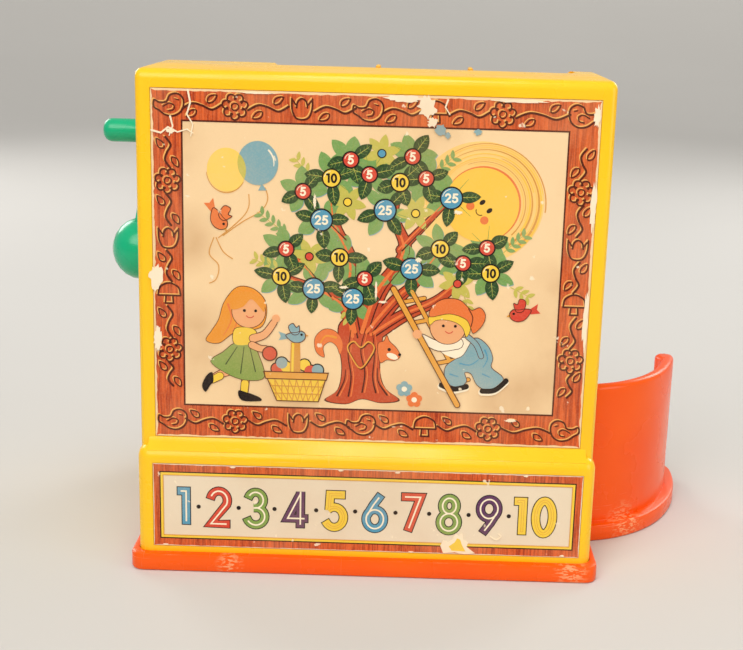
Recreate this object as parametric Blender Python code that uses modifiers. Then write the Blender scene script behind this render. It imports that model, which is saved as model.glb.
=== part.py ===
"""Toy cash register: yellow housing on an orange base with a coin scoop, crank, bell, keys and drawer.

The customer's side faces +Y and the operator's side faces -Y. The crank is on +X, the scoop on -X.
The origin is the centre of the base's underside. Lengths in the helpers are millimetres.
"""

import math

import bmesh
import bpy
from mathutils import Matrix, Vector

MM = 0.001
GAP = 0.3

# Base and scoop
BASE_HALF_X = 105.0
BASE_HALF_Y = 82.5
FLANGE_H = 8.25
PAN_FLOOR = 3.0
SCOOP_X = -97.0
SCOOP_Y = -51.5
SCOOP_FLANGE = (64.6, 86.4)
SCOOP_OUTER = (59.4, 81.2)
SCOOP_INNER = (53.2, 75.4)
SCOOP_FRONT = 31.0
SCOOP_TOP = 77.0
SCOOP_END_DEG = 14.5
SCOOP_BEAD_R = 4.8

# Housing
WALL = 2.6
LOWER_HALF_X = 101.9
LOWER_HALF_Y = 78.66
LOWER_TOP = 57.0
UPPER_HALF_X = 101.0
REAR_Y = 72.6
TOP_Z = 221.3
SLOPE_Y = 2.5
SLOPE_DEG = 22.0
SLOPE_END_Z = 88.0
DECK_END = (-78.66, 58.0)
CORNER_R = 5.6
LABEL_T = 0.5
LABEL_SUNK = 0.3
RECESS_Z = 220.1
RECESS_X = (-86.9, 47.6)

# Coin chute, measured down the slope (s) and inward from it (t)
LANE_WALLS = (-87.9, -41.7, 0.5, 38.7)
LANE_T = (2.9, 10.9)
PLATE_T = (10.9, 13.3)
RIB_W = 2.2
RIB_TOP = 222.0
RAMP_RIGHT = (39.7, 113.2)
RAMP_LEFT = (-98.1, 139.0)
GATE_S = 76.9

# Keys
KEY_ROD = (14.0, 195.0)
KEY_ROD_R = 2.5
KEY_CENTRES = {"five": 19.6, "ten": -20.6, "twentyfive": -64.8}
KEY_PUSH_DEG = 32.4
KEY_CAP = (-65.0, 73.0)
CAP_HALF_X = 17.0
CAP_HALF_U = 10.0

# Crank and mechanism
SHAFT = (17.5, 134.5)
SHAFT_R = 3.0
RUN = 0.05
HUB_R = 14.5
THROW = 55.0
GRIP_R = 5.4
GRIP_TIP_X = 126.0
HUB_TIP_X = 123.0
DECK_Z = (52.5, 54.5)
STRIKER_PIN = (-12.0, 104.0)
LATCH_PIN = (4.0, 66.0)
PIN_R = 2.0
CAM_BASE_R = 11.0
CAM_TIP_R = 17.0
CAM_NOSE = [(-1.6, 128.0), (-1.6, 133.0), (5.9, 133.3), (5.9, 135.7), (-1.6, 136.4), (-6.0, 136.4)]
BELL_X = 71.5
BELL_Y = 40.0
BELL_R = 24.0
SCREW_R = 1.45

# Drawer
DRAWER_HALF_X = 90.5
DRAWER_FRONT_HALF_X = 91.4
DRAWER_FRONT_Y = -79.2
DRAWER_REAR_Y = 60.4
DRAWER_Z = (8.9, 50.0)
DRAWER_T = 2.4

SIN = math.sin(math.radians(SLOPE_DEG))
COS = math.cos(math.radians(SLOPE_DEG))

PARTS = bpy.data.collections.new("toy_cash_register")
CUTTERS = bpy.data.collections.new("cutters")


def clear_scene():
    for item in list(bpy.data.objects):
        bpy.data.objects.remove(item, do_unlink=True)
    bpy.context.scene.collection.children.link(PARTS)
    bpy.context.scene.collection.children.link(CUTTERS)


def material(name, colour, roughness=0.3, metallic=0.0, alpha=1.0):
    made = bpy.data.materials.new(name)
    made.use_nodes = True
    shader = made.node_tree.nodes["Principled BSDF"]
    shader.inputs["Base Color"].default_value = (*colour, 1.0)
    shader.inputs["Roughness"].default_value = roughness
    shader.inputs["Metallic"].default_value = metallic
    shader.inputs["Alpha"].default_value = alpha
    made.diffuse_color = (*colour, alpha)
    return made


# Local axes (across, up, along) of an outline that is extruded along X, Y or Z
FACING = {
    "X": Matrix(((0, 0, 1, 0), (1, 0, 0, 0), (0, 1, 0, 0), (0, 0, 0, 1))),
    "Y": Matrix(((1, 0, 0, 0), (0, 0, 1, 0), (0, 1, 0, 0), (0, 0, 0, 1))),
    "Z": Matrix.Identity(4),
}


def add_mesh(name, shell):
    shell.normal_update()
    bmesh.ops.recalc_face_normals(shell, faces=shell.faces)
    data = bpy.data.meshes.new(name)
    shell.to_mesh(data)
    shell.free()
    made = bpy.data.objects.new(name, data)
    PARTS.objects.link(made)
    return made


def prism(name, outline, facing, low, high):
    """A flat outline extruded from low to high; facing is an axis or a matrix of local axes."""
    flat = bpy.data.curves.new(name, "CURVE")
    flat.dimensions = "2D"
    flat.fill_mode = "BOTH"
    flat.extrude = (high - low) / 2 * MM
    line = flat.splines.new("POLY")
    line.points.add(len(outline) - 1)
    line.use_cyclic_u = True
    for point, (a, b) in zip(line.points, outline):
        point.co = (a * MM, b * MM, 0.0, 1.0)
    sketch = bpy.data.objects.new(name, flat)
    PARTS.objects.link(sketch)
    bpy.context.view_layer.update()
    scene_state = bpy.context.evaluated_depsgraph_get()
    filled = bpy.data.meshes.new_from_object(sketch.evaluated_get(scene_state))
    bpy.data.objects.remove(sketch, do_unlink=True)
    bpy.data.curves.remove(flat)
    shell = bmesh.new()
    shell.from_mesh(filled)
    bpy.data.meshes.remove(filled)
    bmesh.ops.remove_doubles(shell, verts=shell.verts, dist=0.01 * MM)
    flat_edges = [edge for edge in shell.edges if edge.is_manifold and edge.calc_face_angle() < 0.001]
    bmesh.ops.dissolve_edges(shell, edges=flat_edges, use_verts=False)
    axes = FACING[facing] if isinstance(facing, str) else facing
    shell.transform(axes @ Matrix.Translation((0.0, 0.0, (low + high) / 2 * MM)))
    return add_mesh(name, shell)


def cube(name, sides, facing=Matrix.Identity(4)):
    """A box from a low and a high value on each local axis."""
    size = [(high - low) * MM for low, high in sides]
    middle = [(high + low) / 2 * MM for low, high in sides]
    shell = bmesh.new()
    bmesh.ops.create_cube(shell, size=1.0)
    shell.transform(facing @ Matrix.Translation(middle) @ Matrix.Diagonal((*size, 1.0)))
    return add_mesh(name, shell)


def slab(name, x, y, z):
    return cube(name, (x, y, z))


def rod(name, facing, centre, radius, low, high, sides=24):
    """A round bar along an axis, or along the third axis of a matrix."""
    shell = bmesh.new()
    bmesh.ops.create_cone(shell, cap_ends=True, segments=sides, radius1=radius * MM, radius2=radius * MM,
                          depth=(high - low) * MM)
    axes = FACING[facing] if isinstance(facing, str) else facing
    middle = (centre[0] * MM, centre[1] * MM, (low + high) / 2 * MM)
    shell.transform(axes @ Matrix.Translation(middle))
    return add_mesh(name, shell)


def turned(name, facing, centre, profile, sides=28):
    """A turned piece; the profile is (distance along the axis, radius) points, from end to end."""
    data = bpy.data.meshes.new(name)
    points = [(radius * MM, 0.0, along * MM) for along, radius in profile]
    lines = [(i, i + 1) for i in range(len(points) - 1)]
    if profile[0][1] > 0 and profile[-1][1] > 0:
        lines.append((len(points) - 1, 0))
    data.from_pydata(points, lines, [])
    made = bpy.data.objects.new(name, data)
    PARTS.objects.link(made)
    axes = FACING[facing] if isinstance(facing, str) else facing
    data.transform(axes.to_3x3().to_4x4())
    made.location = axes @ Vector((centre[0] * MM, centre[1] * MM, 0.0))
    turn = made.modifiers.new("turn", "SCREW")
    turn.axis = "X" if facing == "X" else "Z"
    turn.steps = sides
    turn.render_steps = sides
    turn.use_merge_vertices = True
    turn.merge_threshold = 0.00001
    turn.use_normal_calculate = True
    turn.use_smooth_shade = False
    area = sum(profile[i - 1][1] * profile[i][0] - profile[i][1] * profile[i - 1][0]
               for i in range(len(profile)))
    turn.use_normal_flip = area > 0
    return made


def fillet(corners, steps=4):
    """Rounds an outline; each corner is (a, b, radius)."""
    points = []
    count = len(corners)
    for i, (a, b, radius) in enumerate(corners):
        here = Vector((a, b))
        if radius <= 0:
            points.append((a, b))
            continue
        before = (Vector(corners[i - 1][:2]) - here).normalized()
        after = (Vector(corners[(i + 1) % count][:2]) - here).normalized()
        half = before.angle(after) / 2
        reach = radius / math.tan(half)
        centre = here + (before + after).normalized() * (radius / math.sin(half))
        start = here + before * reach - centre
        finish = here + after * reach - centre
        sweep = math.atan2(start.x * finish.y - start.y * finish.x, start.dot(finish))
        for k in range(steps + 1):
            turn = sweep * k / steps
            x = start.x * math.cos(turn) - start.y * math.sin(turn)
            y = start.x * math.sin(turn) + start.y * math.cos(turn)
            points.append((centre.x + x, centre.y + y))
    return points


def inset(corners, distance):
    """Moves each edge of a clockwise or anticlockwise outline inward."""
    area = 0.0
    count = len(corners)
    for i in range(count):
        a = corners[i]
        b = corners[(i + 1) % count]
        area += a[0] * b[1] - b[0] * a[1]
    side = 1.0 if area > 0 else -1.0
    moved = []
    for i in range(count):
        here = Vector(corners[i][:2])
        before = (here - Vector(corners[i - 1][:2])).normalized()
        after = (Vector(corners[(i + 1) % count][:2]) - here).normalized()
        normal_a = Vector((-before.y, before.x)) * side
        normal_b = Vector((-after.y, after.x)) * side
        mid = (normal_a + normal_b).normalized()
        point = here + mid * (distance / mid.dot(normal_a))
        moved.append((point.x, point.y, max(corners[i][2] - distance, 0.0)))
    return moved


def ellipse_points(radii, start_deg, end_deg, steps):
    points = []
    for i in range(steps + 1):
        angle = math.radians(start_deg + (end_deg - start_deg) * i / steps)
        x = SCOOP_X + radii[0] * math.cos(angle)
        points.append((x, SCOOP_Y + radii[1] * math.sin(angle)))
    return points


# The chute's own axes: across, down the slope, and inward from the slope's face
LANE = Matrix((
    (1, 0, 0, 0),
    (0, -SIN, COS, SLOPE_Y * MM),
    (0, -COS, -SIN, TOP_Z * MM),
    (0, 0, 0, 1),
))


def lane(x, s, t):
    """A point of the chute's axes in the object's own, in millimetres."""
    return LANE.to_3x3() @ Vector((x, s, t)) + Vector((0.0, SLOPE_Y, TOP_Z))


def lane_yz(s, t):
    point = lane(0.0, s, t)
    return (point.y, point.z)


def lane_prism(name, outline, t_low, t_high):
    return prism(name, outline, LANE, t_low, t_high)


def lane_slab(name, x, s, t):
    return cube(name, (x, s, t), LANE)


def lane_rod(name, x, s, radius, t_low, t_high, sides=12):
    return rod(name, LANE, (x, s), radius, t_low, t_high, sides)


def soften(target, width, steps=2, angle=50.0):
    bevel = target.modifiers.new("soft_edges", "BEVEL")
    bevel.width = width * MM
    bevel.segments = steps
    bevel.limit_method = "ANGLE"
    bevel.angle_limit = math.radians(angle)
    return target


def combine(target, tool, operation):
    change = target.modifiers.new(operation.lower() + "_" + tool.name, "BOOLEAN")
    change.operation = operation
    change.solver = "EXACT"
    change.object = tool
    PARTS.objects.unlink(tool)
    CUTTERS.objects.link(tool)
    tool.hide_render = True
    tool.display_type = "WIRE"


def cut(target, tool):
    combine(target, tool, "DIFFERENCE")


def fuse(target, tool):
    combine(target, tool, "UNION")


def paint(target, surface):
    target.data.materials.clear()
    target.data.materials.append(surface)
    return target


def set_origin(target, x, y, z):
    """Puts a moving piece's origin on its joint axis."""
    centre = Vector((x, y, z)) * MM
    shift = target.location - centre
    for vertex in target.data.vertices:
        vertex.co += shift
    target.location = centre


def wire(name, path, radius):
    data = bpy.data.curves.new(name, "CURVE")
    data.dimensions = "3D"
    data.bevel_depth = radius * MM
    data.bevel_resolution = 1
    data.use_fill_caps = True
    line = data.splines.new("POLY")
    line.points.add(len(path) - 1)
    for point, position in zip(line.points, path):
        point.co = (*(Vector(position) * MM), 1.0)
    made = bpy.data.objects.new(name, data)
    PARTS.objects.link(made)
    return made


def coil_path(axis, centre, radius, low, high, turns, per_turn=10, start=0.0):
    path = []
    count = int(turns * per_turn)
    for i in range(count + 1):
        angle = math.radians(start) + 2 * math.pi * i / per_turn
        a = centre[0] + radius * math.cos(angle)
        b = centre[1] + radius * math.sin(angle)
        path.append(FACING[axis] @ Vector((a, b, low + (high - low) * i / count)))
    return path


def torsion_spring(name, centre, radius, wire_r, x, start, leg):
    """Four and a half turns round a pin, with a straight leg at each end."""
    coil = coil_path("X", centre, radius, x[0], x[1], 4.5, 8, start)
    first = Vector(coil[0])
    second = Vector(coil[1])
    last = Vector(coil[-1])
    ahead = (last - Vector(coil[-2])).normalized()
    back = (first - second).normalized()
    back.x = 0.0
    ahead.x = 0.0
    path = [first + back * leg] + coil + [last + ahead * leg]
    return wire(name, path, wire_r)


def screw(name, head, direction, length, head_r=3.0, head_h=1.6):
    """A pan-head screw; head is the middle of the head's underside, direction points to the tip."""
    profile = [(-head_h, 0), (-head_h, head_r * 0.7), (-head_h * 0.5, head_r), (0, head_r), (0, SCREW_R)]
    profile += [(length - 1.0, SCREW_R), (length, SCREW_R * 0.4), (length, 0)]
    made = turned(name, "Z", (0, 0), profile, 8)
    made.location = Vector(head) * MM
    made.rotation_mode = "QUATERNION"
    made.rotation_quaternion = Vector((0, 0, 1)).rotation_difference(Vector(direction))
    return paint(made, STEEL)


def rounded_rect(half_x, half_y, radius, steps=4):
    corners = [(half_x, -half_y, radius), (half_x, half_y, radius)]
    corners += [(-half_x, half_y, radius), (-half_x, -half_y, radius)]
    return fillet(corners, steps)


# ---------------------------------------------------------------- base and scoop


BASE_SCREWS = [(96.3, 70.0), (96.3, -70.0), (-96.3, 70.0), (-96.3, -70.0)]


def build_base():
    corners = [(BASE_HALF_X, BASE_HALF_Y, 6), (-BASE_HALF_X, BASE_HALF_Y, 6)]
    corners += [(-BASE_HALF_X, -BASE_HALF_Y, 0), (BASE_HALF_X, -BASE_HALF_Y, 6)]
    corners = fillet(corners, 4)
    start = math.degrees(math.acos((-BASE_HALF_X - SCOOP_X) / SCOOP_FLANGE[0]))
    rim = ellipse_points(SCOOP_FLANGE, start, 180, 22)
    rim += ellipse_points((SCOOP_FLANGE[0], SCOOP_FRONT), 180, 270, 8)[1:]
    outline = corners[:10] + rim + corners[-5:]
    base = soften(prism("base_pan", outline, "Z", 0.0, FLANGE_H), 1.3)

    wall = ellipse_points(SCOOP_OUTER, start + 1.0, 180 - SCOOP_END_DEG, 26)
    back = ellipse_points(SCOOP_INNER, 180 - SCOOP_END_DEG - 5.5, start + 1.0, 25)
    end = Vector(wall[-1])
    outward = (end - Vector((SCOOP_X, SCOOP_Y + 4.0))).normalized()
    centre = end - outward * SCOOP_BEAD_R
    bead = []
    for degrees in range(25, 226, 25):
        point = centre + Matrix.Rotation(math.radians(degrees), 2) @ outward * SCOOP_BEAD_R
        bead.append((point.x, point.y))
    scoop = prism("scoop_wall", wall + bead + back, "Z", 3.4, SCOOP_TOP)
    soften(scoop, 2.4, 3, 60)

    hollow = rounded_rect(LOWER_HALF_X + GAP, LOWER_HALF_Y + GAP, CORNER_R, 4)
    cut(base, prism("base_hollow", hollow, "Z", PAN_FLOOR, 30))
    floor = ellipse_points((SCOOP_INNER[0] - 0.4, SCOOP_INNER[1] - 0.4), start + 2.5, 180, 22)
    floor += ellipse_points((SCOOP_INNER[0] - 0.4, SCOOP_FRONT - 5), 180, 259, 8)[1:]
    cut(base, prism("scoop_hollow", floor, "Z", 4.0, 30))
    fuse(base, scoop)
    for side in (-1, 1):
        runner = slab("runner", (side * 80 - 1.2, side * 80 + 1.2), (-74, 66), (2.0, 8.6))
        fuse(base, runner)
    for x, y in BASE_SCREWS:
        cut(base, rod("base_screw_hole", "Z", (x, y), 1.8, -5, 20, 12))
        cut(base, rod("base_screw_seat", "Z", (x, y), 3.6, -5, 1.7, 12))
    paint(base, ORANGE)


# ---------------------------------------------------------------- housing


UPPER_PROFILE = [
    (REAR_Y, 40.0, 0),
    (REAR_Y, TOP_Z, 4.2),
    (SLOPE_Y, TOP_Z, 4.2),
    (SLOPE_Y - (TOP_Z - SLOPE_END_Z) * SIN / COS, SLOPE_END_Z, 3.0),
    (DECK_END[0] + 4.46, DECK_END[1] + 4.9, 0),
    (DECK_END[0] + 4.46, 40.0, 0),
]

CHUTE_SCREWS = [(46.5, 26.0), (46.5, 100.0), (-93.4, 26.0), (-93.4, 84.0)]
DECK_SCREWS = [(94.3, 52.0), (94.3, -52.0), (-94.3, 52.0), (-94.3, -52.0)]


# A key cap's own axes: across, down the deck, and outward against the push
KEY_PUSH = math.radians(KEY_PUSH_DEG)
KEY_AXES = Matrix((
    (1, 0, 0, 0),
    (0, -math.sin(KEY_PUSH), -math.cos(KEY_PUSH), KEY_CAP[0] * MM),
    (0, -math.cos(KEY_PUSH), math.sin(KEY_PUSH), KEY_CAP[1] * MM),
    (0, 0, 0, 1),
))


def key_block(name, x, down, out):
    return cube(name, (x, down, out), KEY_AXES)


def build_housing():
    lower = rounded_rect(LOWER_HALF_X, LOWER_HALF_Y, CORNER_R, 4)
    housing = prism("housing", lower, "Z", PAN_FLOOR + GAP, LOWER_TOP)
    round_top = housing.modifiers.new("shoulder", "BEVEL")
    round_top.width = 5.0 * MM
    round_top.segments = 3
    round_top.limit_method = "WEIGHT"
    weights = housing.data.attributes.new("bevel_weight_edge", "FLOAT", "EDGE")
    for edge in housing.data.edges:
        heights = [housing.data.vertices[i].co.z for i in edge.vertices]
        weights.data[edge.index].value = 1.0 if min(heights) > (LOWER_TOP - 1) * MM else 0.0

    upper = prism("upper_body", fillet(UPPER_PROFILE, 4), "X", -UPPER_HALF_X, UPPER_HALF_X)
    soften(upper, 3.6, 3, 60)
    fuse(housing, upper)

    sweep = prism("shoulder_sweep", [
        (REAR_Y - 1.0, LOWER_TOP - 2.0),
        (REAR_Y + 4.6, LOWER_TOP - 2.6),
        (REAR_Y + 4.75, LOWER_TOP - 1.6),
        (REAR_Y + 1.6, LOWER_TOP + 1.2),
        (REAR_Y + 0.4, LOWER_TOP + 2.5),
        (REAR_Y - 0.2, LOWER_TOP + 3.4),
        (REAR_Y - 1.0, LOWER_TOP + 3.4),
    ], "X", -UPPER_HALF_X + 3.6, UPPER_HALF_X - 3.6)
    soften(sweep, 1.4, 2, 60)
    fuse(housing, sweep)

    inner_low = rounded_rect(LOWER_HALF_X - WALL, LOWER_HALF_Y - WALL, CORNER_R - 2, 3)
    cut(housing, prism("lower_cavity", inner_low, "Z", -5, DECK_Z[1] + 0.3))
    inner_up = fillet(inset(UPPER_PROFILE, WALL), 3)
    cut(housing, prism("upper_cavity", inner_up, "X", -UPPER_HALF_X + WALL, UPPER_HALF_X - WALL))

    cut(housing, slab("drawer_mouth", (-92, 92), (-90, -70), (-5, 52)))

    recess = [(RECESS_X[0] - 2.6, RECESS_Z + 2.6), (RECESS_X[0], RECESS_Z), (RECESS_X[1], RECESS_Z),
              (RECESS_X[1] + 2.6, RECESS_Z + 2.6)]
    cut(housing, prism("coin_recess", recess, "Y", -20, 21))
    slot_x = (LANE_WALLS[0] - RIB_W / 2 - GAP, LANE_WALLS[3] + RIB_W / 2 + GAP)
    cut(housing, lane_slab("coin_slot", slot_x, (-12, 6), (LANE_T[0] - 0.1, PLATE_T[1] + GAP)))

    cut(housing, lane_slab("window_front", (-84, 35), (12, 82), (-3, 1.3)))
    cut(housing, lane_slab("window_seat", (-86.2, 37.2), (9.8, 84.2), (1.2, 4)))

    exit_s = RAMP_LEFT[1] - 45.5
    cut(housing, lane_slab("side_exit", (-110, -96), (exit_s, RAMP_LEFT[1] + 0.3), (3.8, 11.2)))

    for name, x in KEY_CENTRES.items():
        reach = (x - CAP_HALF_X - 0.8, x + CAP_HALF_X + 0.8)
        cut(housing, key_block("key_slot_" + name, reach, (-CAP_HALF_U - 0.9, CAP_HALF_U + 0.9),
                               (-14, 30)))

    cut(housing, rod("bush_hole", "X", SHAFT, 6.3, 90, 110, 20))
    cut(housing, slab("picture_seat", (-94.8, 94.3), (REAR_Y - 0.6, 90), (60.5, 213.6)))
    cut(housing, slab("number_seat", (-96.5, 94.8), (LOWER_HALF_Y - 0.6, 90), (10.7, 50.0)))

    for x, y in BASE_SCREWS:
        side = 1 if x > 0 else -1
        fuse(housing, rod("base_boss", "Z", (side * 96.5, y), 4.2, PAN_FLOOR + 2 * GAP, 30, 14))
        cut(housing, rod("base_boss_hole", "Z", (x, y), 1.5, -5, 18, 12))
    for x, y in DECK_SCREWS:
        side = 1 if x > 0 else -1
        fuse(housing, rod("deck_boss", "Z", (side * 95.0, y), 4.2, DECK_Z[1] + GAP, 66, 14))
        cut(housing, rod("deck_boss_hole", "Z", (x, y), 1.5, 50, 64, 12))
    for x, s in CHUTE_SCREWS:
        fuse(housing, lane_rod("chute_boss", x, s, 3.7, 1.6, PLATE_T[0] - GAP, 14))
        cut(housing, lane_rod("chute_boss_hole", x, s, 1.5, 3.0, 30, 12))
    paint(housing, YELLOW)


def build_labels():
    y = REAR_Y - LABEL_SUNK
    picture = slab("picture_label", (-94.5, 94.0), (y, y + LABEL_T), (60.8, 213.3))
    paint(picture, PICTURE)
    y = LOWER_HALF_Y - LABEL_SUNK
    number = slab("number_label", (-96.2, 94.5), (y, y + LABEL_T), (11.0, 49.7))
    paint(number, NUMBERS)


# ---------------------------------------------------------------- chute, window and keys


def build_chute():
    left = LANE_WALLS[0] - RIB_W / 2 + 0.4
    right = LANE_WALLS[3] + RIB_W / 2 - 0.4
    tab_left = RAMP_LEFT[0] + 0.5
    plate = [
        (left, -3.1),
        (right, -3.1),
        (right, 19.0),
        (51.5, 19.0),
        (51.5, 106.0),
        (right, RAMP_RIGHT[1] + 1.0),
        (RAMP_LEFT[0] + 0.3, RAMP_LEFT[1] + 1.0),
        (RAMP_LEFT[0] + 0.3, 78.0),
        (tab_left, 78.0),
        (tab_left, 19.7),
        (left, 19.7),
    ]
    chute = lane_prism("coin_chute", plate, PLATE_T[0], PLATE_T[1])
    slope = (RAMP_LEFT[1] - RAMP_RIGHT[1]) / (RAMP_RIGHT[0] - RAMP_LEFT[0])

    def ramp_s(x):
        return RAMP_RIGHT[1] + (RAMP_RIGHT[0] - x) * slope

    bottoms = (ramp_s(LANE_WALLS[0]) - 45.0, ramp_s(LANE_WALLS[1]) - 41.0,
               ramp_s(LANE_WALLS[2]) - 37.5, ramp_s(LANE_WALLS[3]) + 1.3)
    tops = (RECESS_Z - 0.2, RIB_TOP, RIB_TOP, RECESS_Z - 0.2)
    for index, x in enumerate(LANE_WALLS):
        low_front = lane_yz(bottoms[index], LANE_T[0])
        low_back = lane_yz(bottoms[index], PLATE_T[0] + 0.6)
        reach = (tops[index] - low_front[1]) * SIN / COS
        top_front = (low_front[0] + reach, tops[index])
        reach = (tops[index] - low_back[1]) * SIN / COS
        top_back = (low_back[0] + reach, tops[index])
        outline = [low_front, top_front, top_back, low_back]
        rib = prism("lane_rib", outline, "X", x - RIB_W / 2, x + RIB_W / 2)
        fuse(chute, soften(rib, 0.5, 1, 50))
    end = right - 0.3
    ledge = [(end, ramp_s(end)), (end, ramp_s(end) + 2.4), (RAMP_LEFT[0], RAMP_LEFT[1] + 2.4), RAMP_LEFT]
    fuse(chute, lane_prism("ramp_ledge", ledge, LANE_T[0] + 0.2, PLATE_T[1] - 0.2))

    y, z = KEY_ROD
    for x in (-84.0, -42.0, 0.0, 36.0):
        ear = [lane_yz(20.5, PLATE_T[1] - 0.8), lane_yz(38, PLATE_T[1] - 0.8)]
        ear += [(y - 1.0, z - 5.4), (y + 3.2, z - 4.4), (y + 5.4, z), (y + 3.2, z + 4.4), (y - 1.0, z + 5.4)]
        fuse(chute, prism("rod_ear", ear, "X", x - 1.5, x + 1.5))
        cut(chute, rod("ear_hole", "X", KEY_ROD, KEY_ROD_R + RUN, x - 5, x + 5, 20))
    for x in KEY_CENTRES.values():
        cut(chute, lane_slab("gate_hole", (x - 5, x + 5), (GATE_S - 4.6, GATE_S + 4.6), (8, 16)))
    for x, s in CHUTE_SCREWS:
        cut(chute, lane_rod("chute_screw_hole", x, s, 1.8, 8, 16, 12))
    paint(chute, YELLOW_INNER)

    window = lane_slab("coin_window", (-85.9, 36.9), (10.1, 83.9), (1.5, 2.5))
    fuse(window, lane_slab("window_pane", (-83.7, 34.7), (12.3, 81.7), (0.2, 2.0)))
    paint(window, CLEAR)


def bar(start, finish, width):
    """Outline of a straight bar between two points in the YZ plane."""
    a = Vector(start)
    b = Vector(finish)
    side = Vector((-(b - a).y, (b - a).x)).normalized() * (width / 2)
    return [tuple(a + side), tuple(b + side), tuple(b - side), tuple(a - side)]


def build_keys():
    rod_piece = rod("key_rod", "X", KEY_ROD, KEY_ROD_R, -87.0, 39.0, 20)
    paint(rod_piece, STEEL)
    colours = {"five": RED, "ten": KEY_YELLOW, "twentyfive": BLUE}
    elbow = (-21.5, 86.0)
    hip = (-59.5, 70.5)
    for name, x in KEY_CENTRES.items():
        key = key_block("key_" + name, (x - CAP_HALF_X, x + CAP_HALF_X), (-CAP_HALF_U, CAP_HALF_U),
                        (-4.5, 14.5))
        soften(key, 2.4, 3, 50)
        fuse(key, prism("key_lever_" + name, bar(KEY_ROD, elbow, 8.0), "X", x - 3, x + 3))
        fuse(key, prism("key_foot_" + name, bar((-16.5, 88.1), hip, 8.0), "X", x - 2.9, x + 2.9))
        fuse(key, rod("key_hub_" + name, "X", KEY_ROD, 5.4, x - 6, x + 6, 20))
        finger = lane_slab("key_finger_" + name, (x - 3.6, x + 3.6), (GATE_S - 2.6, GATE_S + 2.6),
                           (6.5, 25.0))
        fuse(key, finger)
        cut(key, rod("key_bore_" + name, "X", KEY_ROD, KEY_ROD_R + RUN, x - 10, x + 10, 20))
        paint(key, colours[name])
        set_origin(key, x, KEY_ROD[0], KEY_ROD[1])
        spring = torsion_spring("key_spring_" + name, KEY_ROD, 3.6, 0.45, (x + 7.2, x + 11.6), 100, 11)
        paint(spring, STEEL)


# ---------------------------------------------------------------- crank, cams, bell and latch


def build_crank():
    x0 = 104.6
    dome = [(x0, 0), (x0, HUB_R), (x0 + 5.0, HUB_R)]
    for degrees in range(15, 90, 15):
        angle = math.radians(degrees)
        dome.append((x0 + 5.0 + (HUB_TIP_X - x0 - 5.0) * math.sin(angle), HUB_R * math.cos(angle)))
    crank = turned("crank_handle", "X", SHAFT, dome + [(HUB_TIP_X, 0)], 44)
    y, z = SHAFT
    arm = fillet([(y - 9.0, z, 0), (y - 5.6, z + THROW + 5.2, 5.2), (y + 5.6, z + THROW + 5.2, 5.2),
                  (y + 9.0, z, 0)], 4)
    fuse(crank, soften(prism("crank_arm", arm, "X", 105.4, 110.2), 1.4, 2, 50))
    root = [(107.0, z + 11), (112.2, z + 11), (111.5, z + 15), (110.6, z + 20), (109.6, z + 24)]
    root.append((107.0, z + 24))
    fuse(crank, soften(prism("arm_root", root, "Y", y - 5.0, y + 5.0), 0.6, 1, 50))
    grip = [(107, 0), (107, GRIP_R)]
    for degrees in (0, 22, 44, 66):
        angle = math.radians(degrees)
        grip.append((GRIP_TIP_X - 4.0 + 4.0 * math.sin(angle), GRIP_R - 4.0 + 4.0 * math.cos(angle)))
    fuse(crank, turned("crank_grip", "X", (y, z + THROW), grip + [(GRIP_TIP_X, 0)], 28))
    cut(crank, rod("crank_bore", "X", SHAFT, SHAFT_R + RUN, 90, 117, 20))
    paint(crank, GREEN)
    set_origin(crank, 0, y, z)

    shaft = rod("crank_shaft", "X", SHAFT, SHAFT_R, 41.0, 116.7, 20)
    paint(shaft, STEEL)
    set_origin(shaft, 0, y, z)

    bush = rod("shaft_bush", "X", SHAFT, 6.0, 95.6, 102.5, 20)
    fuse(bush, rod("bush_flange", "X", SHAFT, 9.0, 101.3, 103.6, 24))
    cut(bush, rod("bush_bore", "X", SHAFT, SHAFT_R + RUN, 90, 110, 20))
    paint(bush, WHITE)

    cam = rod("cam_drum", "X", SHAFT, 6.5, 50.0, 76.0, 20)
    angle = math.radians(225)
    out = Vector((math.cos(angle), math.sin(angle)))
    side = Vector((-out.y, out.x))
    for label, x in (("latch", (51.5, 58.5)), ("striker", (65.0, 72.0))):
        fuse(cam, rod("cam_disc_" + label, "X", SHAFT, CAM_BASE_R, x[0], x[1], 24))
        corners = []
        sides = ((8.0, 1.5, 0), (CAM_TIP_R, 1.1, 0.9), (CAM_TIP_R, -1.1, 0.9), (8.0, -1.5, 0))
        for radius, width, rounding in sides:
            point = Vector(SHAFT) + out * radius + side * width
            corners.append((point.x, point.y, rounding))
        fuse(cam, prism("cam_lobe_" + label, fillet(corners, 3), "X", x[0] + 0.4, x[1] - 0.4))
    cut(cam, rod("cam_bore", "X", SHAFT, SHAFT_R + RUN, 40, 90, 20))
    paint(cam, WHITE)
    set_origin(cam, 0, y, z)


BRACKET_SCREWS = [(39.0, -8.0), (39.0, 26.0)]


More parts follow.
